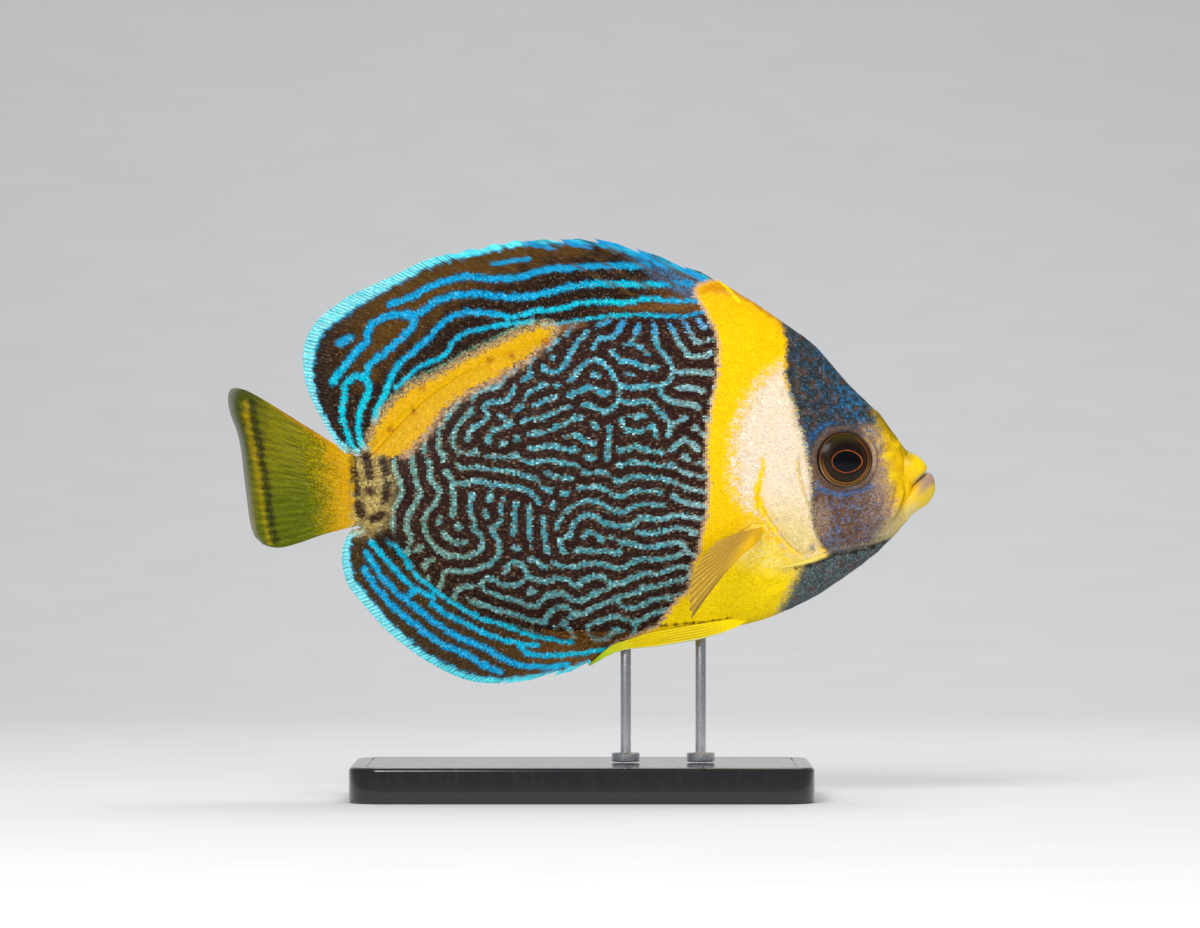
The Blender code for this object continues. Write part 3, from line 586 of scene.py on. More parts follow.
MASK_LINE = (
    (284, 230), (285, 196), (288, 169), (287, 125), (294, 95), (303, 73), (306, 53), (313, 35),
    (319, 8), (324, -18), (325, -40), (324, -64), (328, -87), (336, -114), (344, -128),
)
STEM_BLOTCHES = (
    ((-327, 7), (-324, -15), (-318, -47)), ((-305, 6), (-300, -22)), ((-282, 0), (-276, -18)),
    ((-300, -42), (-297, -44)), ((-317, -62), (-311, -78)), ((-296, -82), (-282, -76)),
    ((-275, -34), (-278, -55)), ((-286, -107), (-262, -110)),
)
TAIL_BAND = (
    (-468, 84), (-466, 61), (-461, 34), (-456, 8), (-451, -17), (-448, -42), (-445, -68), (-441, -93),
    (-436, -114),
)
CHEEK_RIDGE = ((303, 10), (303, -6), (308, -32), (316.5, -60), (325, -86), (331, -103), (346, -128))
CHEEK_CREASE = ((300, -150), (320, -147), (337, -141), (354, -132), (380, -128), (404, -123), (428, -114))
FLANK = (
    (178, 203), (139, 197), (79, 200), (30, 198), (-14, 190), (-41, 170), (-58, 152), (-84, 136),
    (-123, 114), (-155, 98), (-187, 77), (-210, 54), (-227, 35), (-252, 12), (-300, 4), (-322, 2),
    (-326, -60), (-300, -100), (-262, -120), (-238, -150), (-200, -184), (-170, -202), (-103, -229),
    (-51, -246), (-13, -250), (10, -262), (50, -258), (110, -232), (153, -180), (178, -70), (178, 20),
    (192, 130),
)
STEM = ((-334, 14), (-300, 6), (-280, 2), (-268, -20), (-270, -60), (-282, -95), (-300, -104), (-334, -98))
WARM_BAND = ((178, 224), (150, 227), (100, 224), (40, 219), (-10, 212), (40, 210), (100, 211), (150, 213))
WEDGE = ((60, 292), (96, 286), (150, 262), (196, 246), (176, 226), (120, 246))
PALE_CHEEK = (
    (284, 134), (262, 122), (240, 96), (222, 60), (213, 20), (212, -18), (218, -45), (232, -66),
    (252, -72), (264, -90), (282, -112), (302, -132), (330, -132), (332, -60), (322, 20), (300, 90),
)
PALE_THROAT = ((240, -90), (290, -134), (340, -128), (330, -146), (300, -156), (250, -150), (200, -130))
CHIN = ((424, -96), (438, -80), (475, -60), (475, -115), (440, -126), (414, -120))
THROAT = (
    (280, -149), (330, -141), (362, -130), (396, -124), (440, -110), (420, -160), (330, -230),
    (270, -250),
)
# Short strokes of the brush.
SMEAR = ((-64, 178), (-30, 187), (2, 193))
CREST_SPINE = ((190, 257), (206, 244), (222, 226))
# The line of a painted shadow on the body, along the pelvic fin's upper edge.
PELVIC_CREASE = ((104, -233), (146, -230), (186, -225), (214, -221))
NAPE_DUSK = ((284, 236), (284, 205), (287, 178))
CHEEK_STREAK = ((254, 4), (255, -8), (252, -22), (247, -46), (250, -62))
CHEEK_STREAK_LOW = ((250, -62), (268, -94), (288, -118), (308, -134))
PLATE_SPOT = (325, -122)
SNOUT_SPOTS = ((433, 8), (446, 24), (440, -22))
MASK_FRONT = ((350, -137), (380, -132), (440, -118), (480, -80), (480, 40), (460, 90), (300, 260))
EYE_ARC_ABOVE = ((318, 22), (326, 38), (338, 48), (352, 54))
EYE_ARC_BELOW = ((332, -38), (350, -45), (372, -46), (392, -42), (408, -36))
CHEEK_SPINE = ((352, -130), (340, -134), (323, -140), (304, -145), (276, -150))
NOSTRILS = ((425, 20, 3.6), (438, 33, 2.6))


class Labyrinth:
    """Pale winding lines, as a pattern that settles out of noise along leading lines."""

    PERIOD = 20.0  # from line to line
    ROUNDS = 20
    LEAN = 0.26  # how much the pattern keeps to the leaders' directions
    HOLD = 1.6  # how much it keeps to its guides
    DARK = 0.26  # how much wider the dark runs than the lines

    def __init__(self, canvas: Canvas, leaders: Sequence[Line]) -> None:
        """Works out how the pattern runs.

        Args:
            canvas: the side view that it is drawn on.
            leaders: the lines that the pattern follows.
        """
        self.canvas = canvas
        self.leaders = leaders
        across, up = np.fft.rfftfreq(canvas.WIDE), np.fft.fftfreq(canvas.HIGH)
        self.pitch = np.hypot(across[None, :], up[:, None])
        heading = 2 * np.arctan2(up[:, None], across[None, :])
        self.band = np.exp(-(((self.pitch * self.PERIOD - 1) / 0.28) ** 2))
        self.filters = (self.band, self.band * np.cos(heading), self.band * np.sin(heading))
        self.lie = self.directions(26.0)

    def blurred(self, values: Array, radius: float) -> Array:
        """Values spread over their neighbourhood."""
        kept = np.fft.rfft2(values) * np.exp(-2 * (math.pi * radius * self.pitch) ** 2)
        return np.fft.irfft2(kept, values.shape)

    def directions(self, radius: float) -> tuple[Array, Array]:
        """How the pattern lies at each cell.

        Args:
            radius: how far each leader's direction is felt.

        Returns:
            The cosine and the sine of twice the angle across the lines, weaker where leaders disagree.
        """
        cosine = np.zeros((self.canvas.HIGH, self.canvas.WIDE))
        sine, weight = cosine.copy(), cosine.copy()
        for line in self.leaders:
            spots = Path(line).sampled(2.0)
            for a, b in zip(spots, spots[1:]):
                across = 2 * (math.atan2(b[1] - a[1], b[0] - a[0]) + math.pi / 2)
                i, j = round(a[0] - self.canvas.LEFT), round(a[1] - self.canvas.LOW)
                cosine[j, i] += math.cos(across)
                sine[j, i] += math.sin(across)
                weight[j, i] += 1
        total = self.blurred(weight, radius)
        total = np.maximum(total, total.max() * 0.02)
        return self.blurred(cosine, radius) / total, self.blurred(sine, radius) / total

    def grown(self, seed: int, guides: Sequence[Line]) -> Array:
        """Lets the pattern settle.

        Args:
            seed: for the noise that it starts from.
            guides: lines that it keeps to exactly.

        Returns:
            About 1 along the lines and -1 between them.
        """
        away = np.full((self.canvas.HIGH, self.canvas.WIDE), self.PERIOD * 1.5)
        for line in guides:
            away = np.minimum(away, self.canvas.near(line, self.PERIOD * 1.5)[0])
        force = np.cos(2 * np.pi * away / self.PERIOD) * np.exp(-((away / self.PERIOD / 0.62) ** 2))
        pattern = np.random.default_rng(seed).standard_normal(force.shape) * 0.4 + force
        for _ in range(self.ROUNDS):
            spectrum = np.fft.rfft2(pattern)
            even, cosine, sine = (np.fft.irfft2(spectrum * f, force.shape) for f in self.filters)
            along = cosine * self.lie[0] + sine * self.lie[1]
            pattern = np.tanh(1.8 * (even + self.LEAN * along) + self.HOLD * force - self.DARK)
        spectrum = np.fft.rfft2(pattern)
        return np.fft.irfft2(spectrum * np.exp(-((self.pitch * 5.5) ** 2)), force.shape)


@dataclass(frozen=True)
class Palette:
    """The fish's colours, as screen colours."""

    # The body's ground and the membranes.
    umber: Colour = (40, 20, 16)
    membrane: Colour = (88, 60, 16)
    membrane_root: Colour = (34, 22, 16)
    anal_membrane: Colour = (62, 46, 20)
    membrane_fleck: Colour = (78, 54, 42)
    # The flank's lines.
    line_edge: Colour = (74, 72, 56)
    line_tan: Colour = (124, 100, 72)
    line_blue: Colour = (52, 152, 170)
    line_top: Colour = (10, 156, 198)
    line_cream: Colour = (122, 152, 116)
    line_front: Colour = (152, 176, 172)
    line_spark: Colour = (176, 236, 240)
    line_shade: Colour = (44, 66, 66)
    spur: Colour = (28, 136, 200)
    # The long stripes and the margins.
    azure: Colour = (0, 156, 212)
    azure_edge: Colour = (4, 66, 88)
    aqua: Colour = (0, 190, 202)
    cyan: Colour = (40, 226, 246)
    cyan_light: Colour = (196, 255, 255)
    warm_brown: Colour = (112, 74, 30)
    anal_warm: Colour = (116, 76, 24)
    hem: Colour = (96, 190, 160)
    wedge_blue: Colour = (24, 120, 170)
    spine_brown: Colour = (84, 60, 26)
    flag: Colour = (0, 150, 212)
    # A painted shadow: the dark line just above each spine's blue flag.
    flag_shadow: Colour = (20, 44, 66)
    # The crescent.
    amber: Colour = (214, 168, 0)
    orange: Colour = (206, 128, 4)
    smear: Colour = (150, 100, 56)
    crescent_rim: Colour = (198, 158, 122)
    crescent_rim_green: Colour = (190, 184, 90)
    crescent_spot: Colour = (156, 92, 4)
    crescent_light: Colour = (246, 200, 10)
    # The tail's stem.
    stem_cream: Colour = (172, 146, 86)
    stem_light: Colour = (222, 204, 110)
    stem_shade: Colour = (92, 70, 44)
    stem_net: Colour = (120, 196, 184)
    stem_blotch: Colour = (42, 22, 15)
    # The tail fin.
    tail_root: Colour = (206, 154, 6)
    tail_olive: Colour = (122, 118, 2)
    tail_green: Colour = (82, 98, 0)
    tail_band: Colour = (46, 48, 10)
    fringe: Colour = (66, 74, 4)
    tail_fleck: Colour = (196, 168, 16)
    tail_outer: Colour = (104, 104, 4)
    tail_glow: Colour = (176, 146, 6)
    # The shoulder.
    gold: Colour = (252, 198, 2)
    lemon: Colour = (254, 218, 4)
    shoulder_rim: Colour = (214, 178, 138)
    shoulder_top: Colour = (238, 176, 4)
    shoulder_fleck: Colour = (240, 196, 4)
    crest: Colour = (176, 108, 16)
    crest_light: Colour = (250, 226, 20)
    # A painted shadow: the thin dark line on the body just above the pelvic fin.
    pelvic_crease: Colour = (60, 46, 8)
    nape_dusk: Colour = (150, 92, 20)
    # The pale cheek and the gill cover.
    cream: Colour = (228, 198, 158)
    pale: Colour = (242, 222, 198)
    cheek_edge: Colour = (236, 208, 120)
    cheek_freckle: Colour = (222, 186, 156)
    cheek_spark: Colour = (255, 246, 240)
    plate_low: Colour = (226, 204, 118)
    throat_pale: Colour = (236, 222, 140)
    cheek_streak: Colour = (250, 206, 8)
    plate_spot: Colour = (150, 144, 132)
    cheek_ridge: Colour = (226, 196, 70)
    mask_rim: Colour = (126, 158, 158)
    # The mask.
    slate: Colour = (50, 52, 50)
    mask_blue: Colour = (16, 128, 184)
    mask_brown: Colour = (88, 62, 48)
    mask_shade: Colour = (34, 38, 38)
    mask_spark: Colour = (112, 124, 120)
    cheek_brown: Colour = (106, 76, 58)
    cheek_blotch: Colour = (84, 56, 44)
    cheek_blue: Colour = (78, 116, 156)
    cheek_fleck: Colour = (150, 128, 112)
    cheek_tan: Colour = (178, 148, 116)
    cheek_front: Colour = (150, 132, 124)
    cheek_low: Colour = (98, 110, 130)
    socket: Colour = (104, 80, 62)
    eye_arc: Colour = (16, 118, 186)
    # The snout and the throat.
    olive: Colour = (128, 110, 8)
    eye_front: Colour = (176, 148, 128)
    eye_front_spot: Colour = (206, 160, 60)
    snout: Colour = (228, 184, 10)
    snout_spot: Colour = (250, 214, 20)
    chin: Colour = (206, 178, 70)
    chin_pale: Colour = (206, 190, 130)
    throat: Colour = (64, 68, 64)
    throat_net: Colour = (122, 152, 162)
    throat_edge: Colour = (206, 200, 130)
    crease_rim: Colour = (150, 142, 104)
    # Painted shade: the dark line in the fold under the cheek, just below the cheek spine.
    crease: Colour = (44, 36, 28)
    # The paired fins.
    pectoral: Colour = (248, 200, 4)
    pectoral_tip: Colour = (206, 162, 70)
    pectoral_line: Colour = (214, 152, 6)
    pectoral_line_tip: Colour = (104, 76, 30)
    pelvic: Colour = (252, 220, 0)
    pelvic_tip: Colour = (190, 228, 40)
    pelvic_rim: Colour = (214, 236, 190)
    # The cheek spines.
    horn: Colour = (226, 204, 96)
    # The lips.
    upper_lip: Colour = (238, 200, 14)
    upper_lip_root: Colour = (196, 138, 30)
    upper_lip_rim: Colour = (120, 128, 140)
    upper_lip_within: Colour = (60, 34, 34)
    lower_lip: Colour = (214, 184, 50)
    lower_lip_pink: Colour = (164, 134, 112)
    lower_lip_within: Colour = (90, 52, 48)
    # The eyes.
    iris: Colour = (24, 15, 12)
    iris_brown: Colour = (48, 33, 20)
    iris_olive: Colour = (60, 54, 10)
    iris_low_ring: Colour = (150, 96, 24)
    iris_rim: Colour = (216, 190, 130)
    iris_front_ring: Colour = (150, 84, 34)
    iris_outer_ring: Colour = (104, 68, 34)
    pupil_ring: Colour = (222, 112, 28)
    pupil: Colour = (4, 5, 9)


TINTS = Palette()


class Paint:
    """Paint in linear colours, laid on in layers."""

    def __init__(self, shape: tuple[int, ...], ground: Colour) -> None:
        """Starts from one colour all over.

        Args:
            shape: how many places it covers each way.
            ground: the colour.
        """
        self.colours = np.ones((*shape, 1)) * linear(ground)

    def lay(self, colour: Colour, mask: Array) -> None:
        """Lays a colour over it.

        Args:
            colour: the colour.
            mask: 1 where it covers what is there, 0 where it leaves it.
        """
        share = np.clip(mask, 0, 1)[..., None]
        self.colours = self.colours * (1 - share) + linear(colour) * share


class Markings:
    """The colours of the fish's sides, painted on one canvas for each side."""

    def __init__(self, canvas: Canvas, shape: BodyShape) -> None:
        """Paints both sides.

        Args:
            canvas: gives the side view's cells.
            shape: the body's form.
        """
        self.canvas = canvas
        self.u, self.v = canvas.u, canvas.v
        self.shape = shape
        self.wobble = canvas.noise(11, 16) * 0.7 + canvas.noise(12, 6) * 0.45
        self.grain = canvas.noise(13, 3.4, 0.5)
        self.blotch = canvas.noise(14, 30)
        self.dots = canvas.noise(32, 3.2, 0.6)
        labyrinth = Labyrinth(canvas, SCRIBBLES)
        self.sides = {
            Side.RIGHT: self.painted(labyrinth.grown(5, SCRIBBLES)),
            Side.LEFT: self.painted(labyrinth.grown(8, SCRIBBLES[::9])),
        }

    def ragged(self, mask: Array, amount: float) -> Array:
        """Roughens a mask's edge, and leaves it clean where it is 0 or 1."""
        share = np.clip(mask, 0, 1)
        return share + (0.7 * self.wobble + self.grain) * amount * 4 * share * (1 - share)

    def net(self, seed: int, wave: float, wide: float) -> Array:
        """Thin winding lines round blotches of about one size."""
        return 1 - ramp(0.0, wide, np.abs(self.canvas.noise(seed, wave)) - 0.08 * self.grain)

    def stroke(self, line: Line, start: float, end: float, soft: float = 1.6) -> Array:
        """A brush stroke along a line.

        Args:
            line: the places that it runs through.
            start: its width where it starts.
            end: its width where it ends.
            soft: how soft its edge is.

        Returns:
            1 on the stroke, 0 off it.
        """
        away, share = self.canvas.near(line, max(start, end) + 2 * soft)
        half = (start + (end - start) * share) / 2
        return 1 - ramp(-soft, soft, away + self.wobble - half)

    def painted(self, pattern: Array) -> Array:
        """Paints one side.

        Args:
            pattern: the labyrinth of its flank.

        Returns:
            The canvas in linear colours.
        """
        v = self.v
        paint = Paint(v.shape, TINTS.umber)
        above, below = v - self.shape.back(self.u), self.shape.belly(self.u) - v
        paint.lay(TINTS.membrane_root, ramp(-12, 6, above) + ramp(-12, 6, below))
        olive = ramp(66, 134, above + self.blotch * 8) * ramp(-380, -270, self.u)
        paint.lay(TINTS.membrane, olive * 0.9)
        paint.lay(TINTS.anal_membrane, ramp(-6, 40, below + self.blotch * 6) * 0.9)
        paint.lay(TINTS.membrane_fleck, ramp(0.4, 2.2, self.dots) * 0.5)
        self.flank(paint, pattern)
        for part in (
            self.stripes, self.margins, self.crescent, self.stem, self.tail,
            self.shoulder, self.cheek, self.face, self.snout, self.throat,
        ):
            part(paint)
        return np.clip(paint.colours * (1 + 0.08 * self.grain[..., None]), 0, 1)

    def flank(self, paint: Paint, pattern: Array) -> None:
        """Lays the winding lines over the flank.

        Args:
            paint: what is painted so far.
            pattern: the labyrinth of this side.
        """
        u, v = self.u, self.v
        zone = self.canvas.inside(FLANK, 8)
        back_end = np.clip(ramp(-90, -250, u) * 0.8 + ramp(-40, -190, v) * 0.30, 0, 1)
        front_end = ramp(100, 172, u)
        tone = pattern + 0.22 * self.grain + 0.06 * self.wobble - 0.04
        body = ramp(0.14, 0.54, tone) * zone
        core = ramp(0.40, 0.86, tone) * zone
        paint.lay(TINTS.line_edge, body * 0.9)
        tan = np.clip(0.30 + 0.30 * self.dots + 0.5 * np.maximum(back_end, front_end), 0, 1)
        paint.lay(TINTS.line_tan, body * tan)
        paint.lay(TINTS.line_blue, core)
        paint.lay(TINTS.line_top, core * ramp(50, 140, v) * ramp(170, 60, u) * 0.6)
        paint.lay(TINTS.line_cream, core * np.clip(back_end + 0.15 * self.grain, 0, 1) * 0.8)
        paint.lay(TINTS.line_front, core * front_end * 0.6)
        paint.lay(TINTS.line_spark, core * ramp(0.5, 1.5, self.dots) * 0.7)
        paint.lay(TINTS.line_shade, core * ramp(0.2, 1.2, -self.dots) * 0.7)
        spurs = ramp(168, 200, v) * ramp(0, 60, u) * body
        paint.lay(TINTS.spur, spurs * 0.7)

    def stripes(self, paint: Paint) -> None:
        """Lays the fins' long stripes and the crescent's hem.

        Args:
            paint: what is painted so far.
        """
        u, v = self.u, self.v
        warm = self.canvas.inside(WARM_BAND, 10)
        warm = np.maximum(warm * ramp(-10, 130, u), ramp(70, 172, u) * ramp(200, 214, v) * 0.9)
        paint.lay(TINTS.warm_brown, warm * np.clip(0.9 + 0.15 * self.grain, 0, 1))
        near_front = np.exp(-(((u + 10) / 70) ** 2)) * (v < -240)
        paint.lay(TINTS.anal_warm, near_front * np.clip(0.6 + 0.25 * self.grain, 0, 1))
        total = np.zeros(u.shape)
        core = total.copy()
        for line, start, end, strength in STRIPES:
            total = np.maximum(total, self.stroke(line, start * 1.26, end * 1.26, 2.4) * strength)
            core = np.maximum(core, self.stroke(line, start * 0.90, end * 0.90, 1.7) * strength)
        near_body = np.maximum(ramp(74, 14, v - self.shape.back(u)) * ramp(170, 60, u), ramp(170, 80, v))
        near_body = np.where(v > 0, near_body, 0.75 * ramp(64, 4, self.shape.belly(u) - v))
        paint.lay(TINTS.azure_edge, total * 0.9)
        paint.lay(TINTS.azure, core * np.clip(0.90 + 0.22 * self.grain, 0, 1))
        paint.lay(TINTS.aqua, core * np.clip(near_body, 0, 1) * 0.9)
        paint.lay(TINTS.cyan, core * ramp(0.4, 1.8, self.dots) * 0.45)
        hem = self.stroke(shifted(CRESCENT_TOP[2:], -3, 9), 3, 6, 3.0)
        hem = hem * ramp(-0.6, 0.8, self.dots + 0.4 * self.wobble)
        paint.lay(TINTS.hem, hem * 0.7)

    def margins(self, paint: Paint) -> None:
        """Lays the bright margins of the dorsal and the anal fin.

        Args:
            paint: what is painted so far.
        """
        for line, widths in (
            (DORSAL_MARGIN, (11, 15, 22, 18, 7, 5)),
            ([tip for _, tip, _ in DORSAL_SPINES], (7, 12, 12, 9, 9, 11)),
            (ANAL_MARGIN, (8, 10, 11, 14, 13, 8)), ([tip for _, tip, _ in ANAL_SPINES], (6, 6, 7, 7, 8, 8)),
        ):
            away, share = self.canvas.near(line, 26)
            wide = np.interp(share, np.linspace(0, 1, len(widths)), widths)
            rim = 1 - ramp(-2.4, 2.4, away + self.wobble * 1.6 + self.dots - wide)
            outer = 1 - ramp(-1.5, 1.5, away + self.wobble * 1.4 + self.dots - wide * 0.86)
            front = ramp(-100, 40, self.u) * (self.v > 0)
            paint.lay(TINTS.azure, rim * 0.8)
            paint.lay(TINTS.cyan, outer * (1 - 0.75 * front))
            rear = ramp(-150, -300, self.u) * 0.6 + 0.35
            paint.lay(TINTS.cyan_light, outer * ramp(-0.8, 1.2, self.grain) * (1 - front) * rear)
        wedge = self.canvas.inside(WEDGE, 12)
        paint.lay(TINTS.wedge_blue, wedge * np.clip(0.45 + 0.4 * self.grain, 0, 1))
        for n, (root, tip, _) in enumerate(DORSAL_SPINES[1:6]):
            foot = (root, float(self.shape.back(np.array(float(root)))) + 14)
            paint.lay(TINTS.spine_brown, self.stroke((tip, foot), 2.5, 5, 1.6) * 0.7)
            fall = 0.58 if n < 2 else 0.24
            flag = [(tip[0] + far, tip[1] - 3 - fall * far) for far in (1, 22, 44)]
            paint.lay(TINTS.flag, self.stroke(flag, 10, 3, 1.8) * 0.85)
            # A painted shadow: a thin dark line just above the flag.
            paint.lay(TINTS.flag_shadow, self.stroke(shifted(flag, 3, 7), 1.5, 2.5, 1.2) * 0.8)

    def crescent(self, paint: Paint) -> None:
        """Lays the yellow crescent under the soft dorsal fin, with its pale rim and orange spots.

        Args:
            paint: what is painted so far.
        """
        grain = self.grain
        share = self.ragged(self.canvas.inside(CRESCENT, 24), 0.16)
        away, _ = self.canvas.near(CRESCENT_TOP, 20)
        upper = 1 - ramp(6, 18, away)
        smear = self.stroke(SMEAR, 18, 7, 5.0)
        paint.lay(TINTS.smear, smear * np.clip(0.6 + 0.45 * self.dots, 0, 1))
        round_it, _ = self.canvas.near((*CRESCENT[:-3], CRESCENT[-4]), 20)
        rim = 1 - ramp(3, 13, round_it + self.wobble * 2 + self.dots)
        paint.lay(TINTS.crescent_rim, rim * np.clip(0.66 + 0.35 * self.dots, 0, 1))
        paint.lay(TINTS.crescent_rim_green, rim * upper * ramp(0.0, 1.2, self.dots) * 0.7)
        paint.lay(TINTS.amber, ramp(0.46, 0.76, share + 0.05 * self.dots))
        for place in CRESCENT_SPOTS:
            away = np.hypot(self.u - place[0], self.v - place[1])
            paint.lay(TINTS.crescent_spot, (1 - ramp(2, 8, away + self.wobble)) * 0.8)
        inner = ramp(0.6, 0.9, share)
        paint.lay(TINTS.crescent_light, inner * ramp(0.4, 1.8, self.dots) * 0.5)
        paint.lay(TINTS.orange, inner * ramp(0.3, 1.6, grain) * 0.7)

    def stem(self, paint: Paint) -> None:
        """Turns the flank to cream with dark blotches at the tail's stem.

        Args:
            paint: what is painted so far.
        """
        zone = self.canvas.inside(STEM, 26)
        paint.lay(TINTS.stem_cream, zone * np.clip(0.9 + 0.2 * self.grain, 0, 1))
        paint.lay(TINTS.stem_light, zone * ramp(0.2, 1.4, self.dots) * 0.8)
        paint.lay(TINTS.stem_shade, zone * ramp(0.5, 1.5, -self.dots) * 0.6)
        net = self.net(21, 12, 0.3) * ramp(-300, -262, self.u)
        paint.lay(TINTS.stem_net, zone * net * 0.6)
        dark = np.zeros(zone.shape)
        for line in STEM_BLOTCHES:
            dark = np.maximum(dark, self.stroke(line, 14, 13, 3.5))
        paint.lay(TINTS.stem_blotch, dark * np.clip(0.96 + 0.14 * self.grain, 0, 1))

    def tail(self, paint: Paint) -> None:
        """Paints the tail fin, and leaves the ends of the fins above and below it.

        Args:
            paint: what is painted so far.
        """
        u, v = self.u, self.v
        zone = self.canvas.inside(TAIL_ZONE, 2.0)[..., None]
        away, _ = self.canvas.near(TAIL_BAND, 60)
        behind = u + 450 - 12 * np.sin((v + 20) / 90)
        rays = np.sin(np.arctan2(v + 40, u + 120) * 190 + self.wobble * 0.6)
        far = ramp(-328, -400, u)
        ground = paint.colours
        paint.lay(TINTS.tail_root, ramp(-320, -331, u + self.wobble * 4 + self.grain * 3))
        paint.lay(TINTS.tail_olive, ramp(-338, -392, u + self.grain * 8 + self.blotch * 5))
        paint.lay(TINTS.tail_fleck, ramp(-430, -340, u) * ramp(0.5, 1.6, self.grain) * 0.6)
        paint.lay(TINTS.tail_green, ramp(30, -70, v) * far * 0.85)
        edge = np.minimum(self.canvas.near(TAIL_UPPER, 12)[0], self.canvas.near(TAIL_LOWER, 12)[0])
        paint.lay(TINTS.orange, (1 - ramp(0, 4, edge)) * far * ramp(-470, -400, u) * (v > 0) * 0.5)
        outer = ramp(0, -10, behind) * (u < -400)
        paint.lay(TINTS.tail_outer, outer)
        paint.lay(TINTS.fringe, ramp(-14, -34, behind + self.wobble * 3) * (u < -400))
        paint.lay(TINTS.tail_glow, self.stroke(shifted(TAIL_BAND, -9, -3), 10, 5, 4.0) * 0.6)
        band = (1 - ramp(1, 9, away + self.wobble * 1.4 + self.grain * 1.0 + rays * 1.5)) * (u < -380)
        paint.lay(TINTS.tail_band, band * 0.9)
        streaked = paint.colours * (1 + 0.16 * (rays * ramp(-345, -400, u))[..., None])
        paint.colours = ground + (streaked - ground) * zone

    def shoulder(self, paint: Paint) -> None:
        """Lays the yellow of shoulder, throat and head, with its pale ragged rim on the flank.

        Args:
            paint: what is painted so far.
        """
        v = self.v
        outline = (*SHOULDER_LINE, (60, -300), (500, -300), (500, 320), (200, 320))
        zone = self.ragged(self.canvas.inside(outline, 18), 0.10)
        paint.lay(TINTS.shoulder_rim, ramp(0.02, 0.36, zone + 0.06 * self.dots) * 0.8)
        paint.lay(TINTS.gold, ramp(0.42, 0.74, zone))
        paint.lay(TINTS.lemon, ramp(-60, -190, v) * ramp(0.5, 0.9, zone) * 0.8)
        paint.lay(TINTS.shoulder_top, ramp(170, 236, v) * ramp(0.5, 0.9, zone) * 0.6)
        paint.lay(TINTS.shoulder_fleck, ramp(0.4, 2.0, self.grain) * ramp(0.6, 0.9, zone) * 0.5)
        crest = 1 - ramp(2, 12, np.abs(v - self.shape.back(self.u) - 2) + self.wobble * 1.5)
        paint.lay(TINTS.crest, crest * ramp(150, 185, self.u) * 0.65)
        paint.lay(TINTS.crest_light, self.stroke(CREST_SPINE, 3, 4, 1.5))
        # A painted shadow: a thin dark line on the body along the pelvic fin's upper edge.
        crease = self.stroke(PELVIC_CREASE, 2.5, 1, 1.4)
        paint.lay(TINTS.pelvic_crease, crease * 0.85)
        dusk = self.stroke(NAPE_DUSK, 12, 6, 5.0)
        paint.lay(TINTS.nape_dusk, dusk * 0.6)

    def cheek(self, paint: Paint) -> None:
        """Lays the pale cheek behind the mask, the gill cover's tints and the yellow streak behind it.

        Args:
            paint: what is painted so far.
        """
        v = self.v
        zone = self.canvas.inside(PALE_CHEEK, 56)
        zone = zone + (0.16 * self.dots + 0.16 * self.wobble) * 4 * zone * (1 - zone)
        paint.lay(TINTS.cheek_edge, ramp(0.16, 0.52, zone) * 0.85)
        paint.lay(TINTS.cream, ramp(0.36, 0.72, zone) * 0.95)
        paint.lay(TINTS.pale, ramp(0.50, 0.95, zone) * 0.8)
        freckles = ramp(0.6, 1.6, self.canvas.noise(15, 5.0)) * ramp(0.3, 0.8, zone)
        paint.lay(TINTS.cheek_freckle, freckles * 0.4)
        paint.lay(TINTS.cheek_spark, ramp(0.8, 2.0, self.grain) * ramp(0.4, 0.9, zone) * 0.4)
        plate = self.canvas.inside(GILL_COVER, 10)
        paint.lay(TINTS.plate_low, plate * ramp(-20, -110, v) * 0.75)
        below = self.canvas.inside(PALE_THROAT, 30)
        paint.lay(TINTS.throat_pale, below * ramp(-1.2, 1.0, self.dots) * 0.85)
        streak = self.stroke(CHEEK_STREAK, 4, 13, 3.0)
        streak = np.maximum(streak, self.stroke(CHEEK_STREAK_LOW, 9, 3, 2.5))
        paint.lay(TINTS.cheek_streak, streak)
        spot = 1 - ramp(1, 8, np.hypot(self.u - PLATE_SPOT[0], v - PLATE_SPOT[1]) + self.wobble)
        paint.lay(TINTS.plate_spot, spot * 0.8)
        paint.lay(TINTS.cheek_ridge, self.stroke(CHEEK_RIDGE, 3, 4, 2.0) * 0.7)
        rim = self.stroke(MASK_LINE[4:], 9, 7, 4.0) * ramp(-130, -100, v)
        paint.lay(TINTS.mask_rim, rim * np.clip(0.45 + 0.3 * self.grain, 0, 1))

